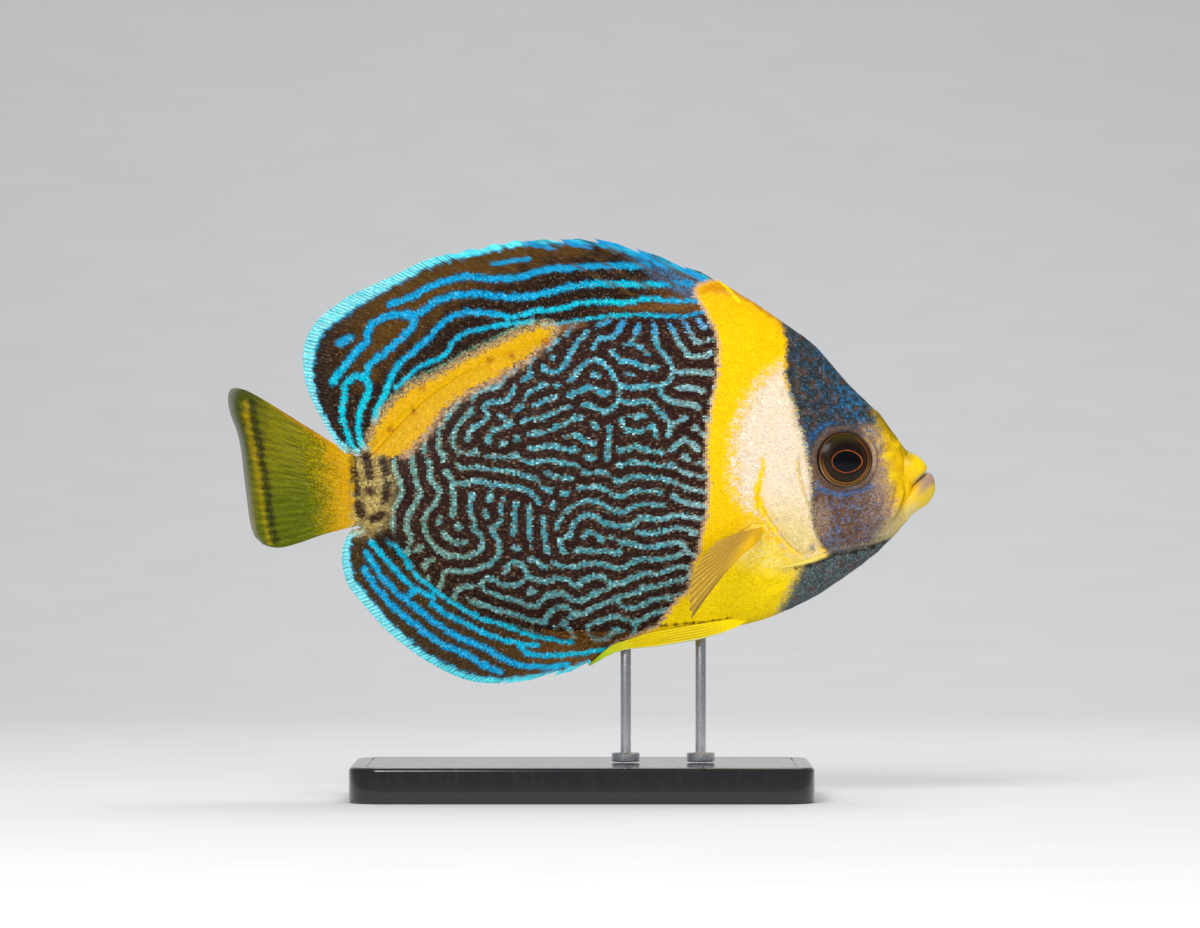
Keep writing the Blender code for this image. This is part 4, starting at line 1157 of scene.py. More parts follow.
    def face(self, paint: Paint) -> None:
        """Lays the slate mask with its blue net and brown blotches over forehead and cheek.

        Args:
            paint: what is painted so far.
        """
        u, v, grain = self.u, self.v, self.grain
        mask = self.canvas.inside((*MASK_LINE, *MASK_FRONT), 18)
        mask = ramp(0.2, 0.8, mask + (0.14 * self.dots + 0.12 * self.wobble) * 4 * mask * (1 - mask))
        upper = ramp(-14, 22, v)
        paint.lay(TINTS.slate, mask)
        blotches = self.canvas.noise(16, 20) + grain * 0.35
        brown = ramp(0.1, 1.0, blotches - 0.5 * ramp(110, 200, v) + 0.2 * ramp(320, 300, u))
        paint.lay(TINTS.mask_brown, mask * upper * brown * 0.85)
        far_up = 0.35 + 0.65 * ramp(-10, 50, u - 318 - (150 - v) * 0.25)
        net = np.maximum(self.net(18, 22, 0.75), 0.8 * self.net(17, 11, 0.45))
        net = net * ramp(-0.8, 1.0, self.dots + 0.2)
        paint.lay(TINTS.mask_blue, mask * upper * net * far_up)
        paint.lay(TINTS.mask_shade, mask * upper * ramp(0.5, 1.6, -self.dots) * 0.4)
        paint.lay(TINTS.mask_spark, mask * upper * ramp(0.9, 2.0, grain) * 0.5)
        lower = mask * (1 - upper)
        front = ramp(372, 420, u + (v + 60) * 0.2)
        net = self.net(19, 19, 0.60) * np.clip(0.8 + 0.35 * self.dots, 0, 1)
        paint.lay(TINTS.cheek_brown, lower)
        paint.lay(TINTS.cheek_blotch, lower * ramp(0.1, 1.2, self.canvas.noise(25, 20)) * 0.6)
        paint.lay(TINTS.cheek_blue, lower * net * 0.9)
        paint.lay(TINTS.cheek_fleck, lower * ramp(0.5, 1.6, grain) * 0.5)
        tan = (1 - ramp(6, 20, np.hypot(u - 338, (v + 84) * 0.55))) * np.clip(0.55 + 0.4 * self.dots, 0, 1)
        paint.lay(TINTS.cheek_tan, lower * tan * 0.8)
        paint.lay(TINTS.cheek_front, lower * front * np.clip(0.45 + 0.3 * grain, 0, 1))
        paint.lay(TINTS.cheek_low, lower * ramp(-100, -120, v) * ramp(-0.4, 1.0, grain) * 0.7)
        away = np.hypot(u - EYE_PLACE[0], v - EYE_PLACE[1])
        ring = hump(EYE_REACH + 5, 8, away)
        paint.lay(TINTS.socket, mask * ring * 0.8)
        arcs = np.maximum(self.stroke(EYE_ARC_ABOVE, 7, 5, 3.0), self.stroke(EYE_ARC_BELOW, 7, 6, 3.0))
        paint.lay(TINTS.eye_arc, arcs * ramp(-0.8, 0.8, self.dots) * 0.9)

    def snout(self, paint: Paint) -> None:
        """Lays the yellow snout, the grey-pink before the eye and the tan chin.

        Args:
            paint: what is painted so far.
        """
        u, v, grain = self.u, self.v, self.grain
        before = ramp(402, 420, u + (v + 20) * 0.28 + self.wobble * 2.5)
        before = before * ramp(-112, -70, v) * ramp(62, 34, v)
        paint.lay(TINTS.eye_front, before * np.clip(0.75 + 0.2 * grain, 0, 1))
        paint.lay(TINTS.eye_front_spot, before * ramp(0.3, 1.2, self.canvas.noise(22, 9)) * 0.6)
        gold = ramp(422, 446, u + (v + 20) * 0.20 + self.wobble * 2.5 + grain * 2)
        paint.lay(TINTS.snout, gold * ramp(-96, -60, v))
        paint.lay(TINTS.chin, gold * ramp(-50, -84, v))
        ridge = hump(0, 26, v - self.shape.back(u))
        paint.lay(TINTS.olive, ramp(400, 424, u) * ridge * 0.75)
        for place in SNOUT_SPOTS:
            away = np.hypot(u - place[0], v - place[1])
            paint.lay(TINTS.snout_spot, (1 - ramp(2, 11, away + self.wobble * 2)) * 0.8)
        paint.lay(TINTS.chin_pale, self.canvas.inside(CHIN, 22) * 0.7)

    def throat(self, paint: Paint) -> None:
        """Lays the dark throat with its pale net, and the fold over it: a pale rim and painted shade.

        Args:
            paint: what is painted so far.
        """
        grain = self.grain
        throat = self.canvas.inside(THROAT, 10) * ramp(284, 322, self.u - (self.v + 164) * 0.5)
        throat = ramp(0.15, 0.85, throat + 0.14 * self.dots * 4 * throat * (1 - throat))
        paint.lay(TINTS.throat, throat)
        brown = ramp(0.2, 1.0, self.canvas.noise(23, 20) + 0.3 * grain)
        paint.lay(TINTS.mask_brown, throat * brown * 0.8)
        net = np.maximum(self.net(24, 13, 0.45), 0.5) * ramp(-0.4, 1.2, self.dots)
        paint.lay(TINTS.throat_net, throat * net)
        pale = throat * (1 - throat) * 4
        paint.lay(TINTS.throat_edge, pale * ramp(-0.6, 1.0, self.dots) * 0.5)
        paint.lay(TINTS.crease_rim, self.stroke(shifted(CHEEK_CREASE[1:], 0, 7), 3, 3, 2.0) * 0.6)
        # A dark line of painted shade in the fold under the cheek, just below the cheek spine.
        paint.lay(TINTS.crease, self.stroke(CHEEK_CREASE, 4, 4, 1.6) * 0.85)

    def on(self, places: Array, side: Side) -> Array:
        """The colours at places of one side."""
        u, v = places[..., 0] / POINT, (places[..., 2] - FISH_HEIGHT) / POINT
        return self.canvas.read(self.sides[side], u, v)


class HeadRelief:
    """The swells, folds and pits of the head, as heights over the plain body."""

    # Folds and creases: the line, its reach to each side in points, and its height or depth in metres.
    FOLDS = (
        (CHEEK_RIDGE, 5, 0.0004),
        (shifted(CHEEK_RIDGE, 6, 0), 4, -0.0002),
        (CHEEK_CREASE, 4.5, -0.0009),
        (shifted(GILL_COVER[8:], -4, -2), 5, -0.0006),
        (((452, 20), (456, 4), (457, -16)), 3.5, -0.0006),
        (((440, -78), (447, -62), (452, -46), (450, -30)), 6, 0.0007),
        (((433, -76), (441, -58), (446, -40)), 5, -0.0004),
        (((458, -50), (446, -80), (430, -96)), 6, -0.0003),
        (((222, -104), (240, -92), (258, -92)), 4, -0.0005),
    )

    def __init__(self, canvas: Canvas) -> None:
        """Draws the relief and keeps it as a layer of the canvas.

        Args:
            canvas: the side view that it is drawn on.
        """
        self.canvas = canvas
        u, v = canvas.u, canvas.v
        away = np.hypot(u - EYE_PLACE[0], v - EYE_PLACE[1])
        height = -0.0034 * (1 - ramp(EYE_REACH - 4, EYE_REACH + 1.5, away))
        height += 0.00075 * hump(EYE_REACH + 4.5, 5.5, away)
        height -= 0.00012 * hump(EYE_REACH + 13, 8, away)
        for line, wide, high in self.FOLDS:
            height += self.fold(line, wide, high)
        height += 0.0009 * (1 - ramp(0, 20, np.hypot((u - 244) * 0.8, v + 106)))
        for nostril_u, nostril_v, radius in NOSTRILS:
            near = np.hypot(u - nostril_u, v - nostril_v)
            height += 0.0005 * hump(radius + 1.4, 2.6, near) - 0.0011 * (1 - ramp(radius * 0.3, radius, near))
        height += 0.00012 * canvas.noise(31, 26) * ramp(230, 300, u)
        canvas.layers["relief"] = height
        edge, _ = canvas.near(GILL_COVER, 14, True)
        within = canvas.inside(GILL_COVER, 0.5)
        low = ramp(4, -28, v)
        canvas.layers["plate"] = within * low * (0.00028 + 0.00055 * ramp(0, 12, edge))
        canvas.layers["plate_edge"] = edge + 14 * (1 - low)

    def fold(self, line: Line, wide: float, high: float) -> Array:
        """A rounded ridge along a line, this wide to each side and this high."""
        away, share = self.canvas.near(line, wide)
        return high * (1 - ramp(0.0, wide, away)) * np.sin(np.pi * np.clip(share, 0.02, 0.98)) ** 0.35


def new_mesh(name: str, places: Array, faces: Array, smooth: bool = True) -> bpy.types.Object:
    """Makes an object from arrays.

    Args:
        name: the piece's name.
        places: a row for each vertex.
        faces: a row of vertex numbers for each face, all with as many corners.
        smooth: whether it is shaded smooth.

    Returns:
        The new object, linked to the scene.
    """
    mesh = bpy.data.meshes.new(name)
    mesh.vertices.add(len(places))
    mesh.vertices.foreach_set("co", np.ascontiguousarray(places, np.float32).ravel())
    corners = faces.shape[1]
    mesh.loops.add(faces.size)
    mesh.loops.foreach_set("vertex_index", np.ascontiguousarray(faces, np.int32).ravel())
    mesh.polygons.add(len(faces))
    mesh.polygons.foreach_set("loop_start", np.arange(0, faces.size, corners, dtype=np.int32))
    mesh.update(calc_edges=True)
    if smooth:
        mesh.shade_smooth()
    else:
        mesh.shade_flat()
    piece = bpy.data.objects.new(name, mesh)
    bpy.context.scene.collection.objects.link(piece)
    return piece


def tint(piece: bpy.types.Object, colours: Array, name: str = "tint") -> None:
    """Stores a colour for each vertex of a piece, with any fourth value as its mask.

    Args:
        piece: the piece.
        colours: a row for each vertex, of three values or four.
        name: the colour layer's name.
    """
    layer = piece.data.color_attributes.new(name, "FLOAT_COLOR", "POINT")
    rows = np.ones((len(piece.data.vertices), 4), np.float32)
    rows[:, : colours.shape[1]] = colours
    layer.data.foreach_set("color", rows.ravel())


def grid_faces(columns: int, rows: int, closed: bool = False) -> Array:
    """Four-cornered faces over a grid of vertices numbered column by column.

    Args:
        columns: how many columns of vertices.
        rows: how many vertices in each.
        closed: whether the last row meets the first.

    Returns:
        A row of four vertex numbers for each face.
    """
    i, j = np.meshgrid(np.arange(columns - 1), np.arange(rows if closed else rows - 1), indexing="ij")
    after = (j + 1) % rows
    near, far = i * rows, (i + 1) * rows
    return np.stack([near + j, far + j, far + after, near + after], -1).reshape(-1, 4)


def fitted(piece: bpy.types.Object, slot: str, material: bpy.types.Material, *nodes: str) -> bpy.types.Object:
    """Dresses a piece and sets it on the fish or its stand.

    Args:
        piece: the piece.
        slot: not used.
        material: its finish.
        nodes: the solids that it stands for.

    Returns:
        The piece.
    """
    piece.data.materials.clear()
    piece.data.materials.append(material)
    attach(piece, BODY)
    if nodes:
        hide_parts(*nodes)
    log.info("%s: %d faces", piece.name, len(piece.data.polygons))
    return piece


class Wiring:
    """Makes the nodes of one material or group, and joins them."""

    def __init__(self, tree: bpy.types.NodeTree) -> None:
        """Keeps the tree that they go in."""
        self.tree = tree

    def feed(self, node: bpy.types.Node, inputs: Inputs) -> None:
        """Sets or joins a node's inputs.

        Args:
            node: the node.
            inputs: for each input, by name or number, its value or the output that feeds it.
        """
        for word, value in inputs.items():
            if isinstance(value, bpy.types.NodeSocket):
                self.tree.links.new(value, node.inputs[word])
            else:
                node.inputs[word].default_value = value

    def add(self, kind: str, inputs: Inputs | None = None, **settings: object) -> bpy.types.Node:
        """Adds a node.

        Args:
            kind: its kind, as Blender names it after ShaderNode.
            inputs: for each input, by name or number, its value or the output that feeds it.
            settings: its other settings, made before the inputs.

        Returns:
            The node.
        """
        node = self.tree.nodes.new(f"ShaderNode{kind}")
        for word, value in settings.items():
            setattr(node, word, value)
        self.feed(node, inputs or {})
        return node

    def stretched(self, amount: bpy.types.NodeSocket) -> bpy.types.NodeSocket:
        """The piece's own places, squeezed along its length so that a pattern in them is stretched.

        Args:
            amount: the output that says by how much.

        Returns:
            The output that holds the places.
        """
        where = self.add("TexCoord").outputs["Object"]
        squeeze = self.add("CombineXYZ", {"X": amount, "Y": 1.0, "Z": 1.0}).outputs["Vector"]
        return self.add("VectorMath", {0: where, 1: squeeze}, operation="MULTIPLY").outputs["Vector"]


def new_material(name: str) -> tuple[bpy.types.Material, Wiring, bpy.types.Node]:
    """Starts a material.

    Args:
        name: its name.

    Returns:
        The material, its wiring and its shader.
    """
    material = bpy.data.materials.new(name)
    material.use_nodes = True
    return material, Wiring(material.node_tree), material.node_tree.nodes["Principled BSDF"]


class NodeGroups:
    """The effects that several finishes share, each built once."""

    def __init__(self) -> None:
        """Builds every group."""
        self.pigment = self.build_pigment()
        self.relief = self.build_relief()
        self.wear = self.build_wear()

    def start(
        self, name: str, inputs: dict[str, float | None], outputs: dict[str, str]
    ) -> tuple[Wiring, bpy.types.NodeOutputs, bpy.types.Node]:
        """Opens a new group.

        Args:
            name: the group's name.
            inputs: its inputs with their values, or None for a colour.
            outputs: its outputs with their kinds.

        Returns:
            The group's wiring, what it is given and its last node.
        """
        group = bpy.data.node_groups.new(name, "ShaderNodeTree")
        for word, value in inputs.items():
            kind = "NodeSocketColor" if value is None else "NodeSocketFloat"
            made = group.interface.new_socket(word, in_out="INPUT", socket_type=kind)
            if value is not None:
                made.default_value = value
        for word, kind in outputs.items():
            group.interface.new_socket(word, in_out="OUTPUT", socket_type=kind)
        return Wiring(group), group.nodes.new("NodeGroupInput").outputs, group.nodes.new("NodeGroupOutput")

    def build_pigment(self) -> bpy.types.NodeTree:
        """Fine grains of darker, lighter and warmer pigment in a painted colour.

        Returns:
            The group.
        """
        wires, given, out = self.start(
            "Pigment", {"Colour": None, "Scale": 1800.0, "Amount": 0.25, "Warmth": 0.02},
            {"Colour": "NodeSocketColor", "Grain": "NodeSocketFloat"},
        )
        where = wires.add("TexCoord").outputs["Object"]
        grain = {"Detail": 3.0, "Roughness": 0.65, "Vector": where, "Scale": given["Scale"]}
        noise = wires.add("TexNoise", grain).outputs["Fac"]
        swing = wires.add("Math", {0: noise, 1: 0.5}, operation="SUBTRACT").outputs[0]
        value = wires.add("Math", {0: swing, 1: given["Amount"], 2: 1.0}, operation="MULTIPLY_ADD")
        hue = wires.add("Math", {0: swing, 1: given["Warmth"], 2: 0.5}, operation="MULTIPLY_ADD")
        changes = {"Color": given["Colour"], "Value": value.outputs[0], "Hue": hue.outputs[0]}
        shift = wires.add("HueSaturation", changes)
        wires.feed(out, {"Colour": shift.outputs["Color"], "Grain": noise})
        return wires.tree

    def build_relief(self) -> bpy.types.NodeTree:
        """Close-set grains as a height, for scales and rays too small to model.

        Returns:
            The group.
        """
        wires, given, out = self.start(
            "Grains", {"Scale": 2200.0, "Stretch": 1.0}, {"Height": "NodeSocketFloat"}
        )
        places = {"Vector": wires.stretched(given["Stretch"]), "Scale": given["Scale"]}
        cells = wires.add("TexVoronoi", places, feature="SMOOTH_F1").outputs["Distance"]
        wires.feed(out, {"Height": wires.add("Math", {0: 1.0, 1: cells}, operation="SUBTRACT").outputs[0]})
        return wires.tree

    def build_wear(self) -> bpy.types.NodeTree:
        """Faint scratches and dust, as a mask.

        Returns:
            The group.
        """
        wires, given, out = self.start(
            "Wear", {"Scale": 60.0, "Stretch": 12.0, "Amount": 0.3}, {"Mask": "NodeSocketFloat"}
        )
        places = {"Detail": 5.0, "Vector": wires.stretched(given["Stretch"]), "Scale": given["Scale"]}
        noise = wires.add("TexNoise", places).outputs["Fac"]
        level = wires.add("MapRange", {"From Min": 0.45, "From Max": 0.75, "Value": noise}).outputs["Result"]
        share = wires.add("Math", {0: level, 1: given["Amount"]}, operation="MULTIPLY").outputs[0]
        wires.feed(out, {"Mask": share})
        return wires.tree


@dataclass(frozen=True)
class SkinFinish:
    """A painted, lacquered surface whose colours lie in the mesh."""

    name: str
    roughness: float = 0.42
    coat: float = 0.04
    coat_roughness: float = 0.15
    grain_scale: float = 1800.0
    grain: float = 0.3
    warmth: float = 0.02
    bump_scale: float = 2200.0
    bump: float = 0.00006
    stretch: float = 1.0
    clear: bool = False
    specular: float = 0.14
    uneven: float = 0.1  # how far the roughness strays to each side

    def made(self, groups: NodeGroups) -> bpy.types.Material:
        """Builds the material.

        Args:
            groups: the shared effects.

        Returns:
            The material.
        """
        material, wires, shader = new_material(self.name)
        painted = wires.add("Attribute", attribute_name="tint")
        grain = {"Scale": self.grain_scale, "Amount": self.grain, "Warmth": self.warmth}
        pigment = wires.add("Group", grain | {"Colour": painted.outputs["Color"]}, node_tree=groups.pigment)
        spread = {"To Min": self.roughness - self.uneven, "To Max": self.roughness + self.uneven}
        rough = wires.add("MapRange", spread | {"Value": pigment.outputs["Grain"]})
        wires.feed(shader, {
            "Base Color": pigment.outputs["Colour"], "Roughness": rough.outputs["Result"],
            "Specular IOR Level": self.specular, "Coat Weight": self.coat,
            "Coat Roughness": self.coat_roughness,
        })
        if self.bump:
            size = {"Scale": self.bump_scale, "Stretch": self.stretch}
            grains = wires.add("Group", size, node_tree=groups.relief)
            bump = wires.add("Bump", {"Distance": self.bump, "Height": grains.outputs["Height"]})
            wires.feed(shader, {"Normal": bump.outputs["Normal"]})
        if self.clear:
            wires.feed(shader, {"Alpha": painted.outputs["Alpha"]})
        return material


@dataclass(frozen=True)
class StandFinish:
    """A hard, plain finish of the stand, with faint scratches."""

    name: str
    colour: tuple[float, float, float]
    roughness: float
    metallic: float = 0.0
    coat: float = 0.0
    scale: float = 60.0
    stretch: float = 12.0
    amount: float = 0.25
    bump: float = 0.00003

    def made(self, groups: NodeGroups) -> bpy.types.Material:
        """Builds the material.

        Args:
            groups: the shared effects.

        Returns:
            The material.
        """
        material, wires, shader = new_material(self.name)
        size = {"Scale": self.scale, "Stretch": self.stretch, "Amount": self.amount}
        mask = wires.add("Group", size, node_tree=groups.wear).outputs["Mask"]
        worn = (*[min(1.0, c * 1.5 + 0.02) for c in self.colour], 1)
        blend = wires.add("Mix", {"A": (*self.colour, 1), "B": worn, "Factor": mask}, data_type="RGBA")
        spread = {"To Min": self.roughness, "To Max": min(1.0, self.roughness + 0.3), "Value": mask}
        rough = wires.add("MapRange", spread)
        bump = wires.add("Bump", {"Distance": self.bump, "Height": mask})
        wires.feed(shader, {
            "Metallic": self.metallic, "Coat Weight": self.coat, "Base Color": blend.outputs["Result"],
            "Roughness": rough.outputs["Result"], "Normal": bump.outputs["Normal"],
        })
        return material


@dataclass
class Skin:
    """The one skin over head, body and tail stem."""

    shape: BodyShape
    markings: Markings
    depth: float = 0.00012  # how far it lies under the scales' tips
    body_step: float = 3.4
    head_step: float = 2.0
    around: int = 112

    def build(self, material: bpy.types.Material) -> None:
        """Builds and dresses the skin.

        Args:
            material: its finish.
        """
        stations = [self.shape.tail_end + 0.05]
        while stations[-1] < self.shape.snout_end - 0.05:
            fine = min(1.0, max(0.0, (stations[-1] - 230) / 40))
            near_end = min(self.shape.snout_end - stations[-1], stations[-1] - self.shape.tail_end)
            step = self.body_step + (self.head_step - self.body_step) * fine
            stations.append(min(stations[-1] + min(step, 0.2 + near_end * 0.35), self.shape.snout_end - 0.02))
        lengths = np.array(stations)
        turns = circle(2 * self.around)
        u, turn = np.meshgrid(lengths, turns, indexing="ij")
        places = self.shape.skin(u, turn, np.full(u.shape, -self.depth)).reshape(-1, 3)
        faces = grid_faces(len(lengths), len(turns), closed=True)
        piece = new_mesh("skin", places, faces)
        left = self.markings.on(places, Side.LEFT)
        right = self.markings.on(places, Side.RIGHT)
        tint(piece, np.where((turn.reshape(-1) < np.pi)[:, None], left, right))
        fitted(piece, "body_skin", material, "head", "shoulder", "trunk", "tail_stem")


@dataclass
class Bed:
    """Where scales grow, with a row for each."""

    roots: Array
    ahead: Array  # the way that their roots point
    out: Array
    long: Array
    wide: Array
    high: Array
    chart: Array  # places on an unwrap of the skin, in metres


@dataclass
class ScaleCoat:
    """Small overlapping scales over the skin, in columns that follow the body round."""

    shape: BodyShape
    markings: Markings
    length: float = 3.3  # from column to column, in points
    width: float = 2.4  # from scale to scale in a column, in points
    height: float = 0.00012
    sunk: float = 0.00007  # how far the roots lie in the surface
    fin_lift: float = 0.00003
    most: int = 24500  # scales in one piece
    patch: float = 0.0021
    fin_size: float = 0.76  # a fin's scales, as a share of the flank's
    stray: float = 0.9  # how far from its own place a scale takes its colour, in points
    rim: tuple[tuple[float, float, float], ...] = (
        (0.55, -0.42, -0.35), (0.55, 0.42, -0.35), (-0.30, 0.58, 0.75), (-0.78, 0.0, 1.0),
        (-0.30, -0.58, 0.75), (0.10, 0.0, -1.4),
    )
    faces: tuple[tuple[int, int, int], ...] = (
        (0, 1, 3), (1, 2, 3), (0, 3, 4), (1, 0, 5), (2, 1, 5), (3, 2, 5), (4, 3, 5), (0, 4, 5),
    )

    def size_at(self, u: float) -> float:
        """How large the scales are at a place along the fish, as a share of the flank's."""
        return float(1 - 0.28 * ramp(225, 300, u) - 0.14 * ramp(380, 440, u) - 0.12 * ramp(-270, -330, u))

    def spots(self, arcs: Array, gap: float, odd: int) -> Array:
        """Even places along a row, every other row set half a step over.

        Args:
            arcs: how far along the row its places lie.
            gap: from spot to spot.
            odd: 1 for a row that is set over, 0 for one that isn't.

        Returns:
            How far along the row each spot lies.
        """
        count = int((arcs[-1] - arcs[0]) / gap / 2)
        middle = (arcs[0] + arcs[-1]) / 2
        found = middle + (np.arange(-count, count + 1) + odd * 0.5) * gap
        return found[(found > arcs[0] + 0.1 * gap) & (found < arcs[-1] - 0.1 * gap)]

    def build(self, side: Side, material: bpy.types.Material, seed: int) -> None:
        """Builds one side's scales, in pieces.

        Args:
            side: the side.
            material: their finish.
            seed: for their small differences.
        """
        found: list[Array] = []
        u, odd = self.shape.tail_end + 4.0, 0
        turns = np.linspace(0.0, np.pi, 600)
        while u < self.shape.snout_end - 8:
            size = self.size_at(u)
            ring = self.shape.plain(np.full(turns.shape, u), turns * side.value)
            steps = np.linalg.norm(np.diff(ring, axis=0), axis=1)
            arcs = np.concatenate([[0.0], np.cumsum(steps)]) / POINT
            spots = self.spots(arcs, self.width * size, odd)
            turn = np.interp(spots, arcs, turns) * side.value
            places, sizes = np.full(spots.shape, u), np.full(spots.shape, size)
            found.append(np.stack([places, turn, spots - arcs[-1] / 2, sizes]))
            u += self.length * size
            odd = 1 - odd
        every = np.concatenate(found, axis=1)
        v, _ = self.shape.section(every[0], every[1])
        every = every[:, self.kept(every[0], v)]
        rng = np.random.default_rng(seed)
        parts = math.ceil(every.shape[1] / self.most)
        for n, some in enumerate(np.array_split(every, parts, axis=1)):
            name = f"scales_{side.word}_{n + 1}"
            self.grow(name, side, self.on_body(*some), rng, material, "body_skin")

    def kept(self, u: Array, v: Array) -> Array:
        """Which scales stay: those clear of the eye, the nostrils and the gill cover's free edge.

        Args:
            u, v: the scales' places, in points.

        Returns:
            Whether each stays.
        """
        layers = self.markings.canvas.layers
        clear = np.hypot(u - EYE_PLACE[0], v - EYE_PLACE[1]) > EYE_REACH + 2.5
        clear &= self.markings.canvas.read(layers["plate_edge"], u, v) > 1.6
        for nostril_u, nostril_v, radius in NOSTRILS:
            clear &= np.hypot(u - nostril_u, v - nostril_v) > radius
        return clear

    def on_body(self, u: Array, turn: Array, arc: Array, size: Array) -> Bed:
        """Lays out scales on the body.

        Args:
            u: how far along the fish each grows, in points.
            turn: its angle round the section.
            arc: its distance round the side, in points.
            size: its size, as a share of the flank's.

        Returns:
            Where they grow.
        """
        v, _ = self.shape.section(u, turn)
        canvas = self.markings.canvas
        roots = self.shape.skin(u, turn, canvas.read(canvas.layers["plate"], u, v) - self.sunk)
        ahead = self.shape.skin(u + 0.8, turn) - self.shape.skin(u - 0.8, turn)
        around = self.shape.skin(u, turn + 0.01) - self.shape.skin(u, turn - 0.01)
        chart = np.stack([u, arc], 1) * POINT
        long, wide = self.length * POINT * size, self.width * POINT * size
        return Bed(roots, ahead, np.cross(ahead, around), long, wide, self.height * size, chart)

    def on_fin(self, surface: Array, side: Side, share: Array, reach: Array) -> Bed:
        """Lays out scales on a fin's face.

        Args:
            surface: columns of places from the root to the margin.
            side: which face it is.
            share: how far up its column each place lies.
            reach: how much of each column is scaled.

        Returns:
            Where they grow.
        """
        tall = np.linalg.norm(surface[:, -1] - surface[:, 0], axis=1)
        columns, step = np.arange(len(tall)), self.length * POINT * self.fin_size
        found: list[Array] = []
        for n in range(1, int((tall * reach).max() / step)):
            up = n * step / np.maximum(tall, 1e-6)
            row = np.interp(up, share, np.arange(len(share)))
            line = between(surface, columns, row)
            arcs = np.concatenate([[0.0], np.cumsum(np.linalg.norm(np.diff(line, axis=0), axis=1))])
            spots = self.spots(arcs, self.width * POINT * self.fin_size, n % 2)
            i = np.interp(spots, arcs, columns)
            some = np.stack([i, np.interp(i, columns, row), spots, np.full(i.shape, n * step)])
            found.append(some[:, np.interp(i, columns, up - reach) < 0])
        i, j, arc, high = np.concatenate(found, axis=1)
        ahead = between(surface, i, j - 0.7) - between(surface, i, j + 0.7)
        out = np.cross(ahead, between(surface, i + 0.7, j) - between(surface, i - 0.7, j))
        out *= np.sign(out[:, 1:2]) * side.value
        out = unit(out, 1e-15)
        size = np.full(i.shape, self.fin_size)
        roots = between(surface, i, j) + out * self.fin_lift
        long, wide = self.length * POINT * size, self.width * POINT * size
        return Bed(roots, ahead, out, long, wide, self.height * size, np.stack([arc, high], 1))

    def grow(
        self, name: str, side: Side, bed: Bed, rng: np.random.Generator,
        material: bpy.types.Material, slot: str,
    ) -> None:
        """Builds one piece of the coat.

        Args:
            name: its name.
            side: the side that it lies on.
            bed: where its scales grow.
            rng: for their small differences.
            material: their finish.
            slot: handed on to fitted.
        """
        count = len(bed.roots)
        out = unit(bed.out, 1e-15)
        ahead = unit(bed.ahead - out * (bed.ahead * out).sum(1, keepdims=True), 1e-15)
        across = np.cross(out, ahead)
        lean = rng.normal(0, 0.09, count)[:, None]
        ahead, across = ahead + across * lean, across - ahead * lean
        rim = np.array(self.rim)
        steps = ((ahead, bed.long, 0.05), (across, bed.wide, 0.05), (out, bed.high, 0.15))
        places = np.repeat(bed.roots[:, None], len(rim), axis=1)
        for k, (way, size, spread) in enumerate(steps):
            places += way[:, None] * (rim[:, k] * (size * rng.normal(1.0, spread, count))[:, None])[..., None]
        faces = (np.array(self.faces)[None] + (np.arange(count) * len(rim))[:, None, None]).reshape(-1, 3)
        flat = places.reshape(-1, 3)
        piece = new_mesh(name, flat, faces, smooth=False)
        spots = places.mean(1) + rng.normal(0, self.stray * POINT, (count, 3)) * (1, 0, 1)
        colours = self.markings.on(spots, side)
        bright = colours[:, :1] > 0.45
        colours = colours * (1 + rng.uniform(-1, 1, (count, 1)) * np.where(bright, 0.08, 0.30))
        # Painted shade and highlight: darker where a scale sinks in, lighter at its raised rear tip.
        edge = np.array([0.84, 0.84, 1.0, 1.16, 1.0, 0.66])[None, :, None]
        tint(piece, np.clip(colours[:, None] * edge, 0, 1).reshape(-1, 3))
        chart = bed.chart - bed.chart.min(0)
        spread = (chart / (chart.max() * 1.02))[:, None] + rim[None, :, :2] * self.patch
        uv = piece.data.uv_layers.new(name="OFBake")
        uv.data.foreach_set("uv", spread.reshape(-1, 2)[faces.ravel()].astype(np.float32).ravel())
        fitted(piece, slot, material)


def streaks(columns: int, rows: int, seed: int, amount: float) -> Array:
    """Fine streaks along a fin's rays.

    Args:
        columns: how many columns of places the fin has.
        rows: how many places in each.
        seed: for the random draw.
        amount: how strong they are.

    Returns:
        Factors about 1.
    """
    rough = np.random.default_rng(seed).standard_normal((columns // 2 + 2, rows // 12 + 2))
    return 1 + amount * between(rough, np.arange(columns)[:, None] / 2, np.arange(rows)[None] / 12)


def sheet(name: str, places: Array, half: Array) -> tuple[bpy.types.Object, Array]:
    """A thin closed fin from a grid of places.

    Args:
        name: the piece's name.
        places: columns of places from root to margin.
        half: half the thickness at each.

    Returns:
        The piece, and its vertices' places, those of the right face first.
    """
    normal = unit(np.cross(np.gradient(places, axis=1), np.gradient(places, axis=0)))
    normal *= np.where(normal[..., 1:2].mean() > 0, -1.0, 1.0)
    right, left = places + normal * half[..., None], places - normal * half[..., None]
    columns, rows = half.shape
    count = columns * rows
    grid = grid_faces(columns, rows)
    number = np.arange(count).reshape(columns, rows)
    around = np.concatenate([number[:, 0], number[-1, 1:], number[-2::-1, -1], number[0, -2:0:-1]])
    after = np.roll(around, -1)
    band = np.stack([around, after, after + count, around + count], 1)
    flat = np.concatenate([right.reshape(-1, 3), left.reshape(-1, 3)])
    piece = new_mesh(name, flat, np.concatenate([grid, grid[:, ::-1] + count, band[:, ::-1]]))
    turn_out(piece)
    return piece, flat


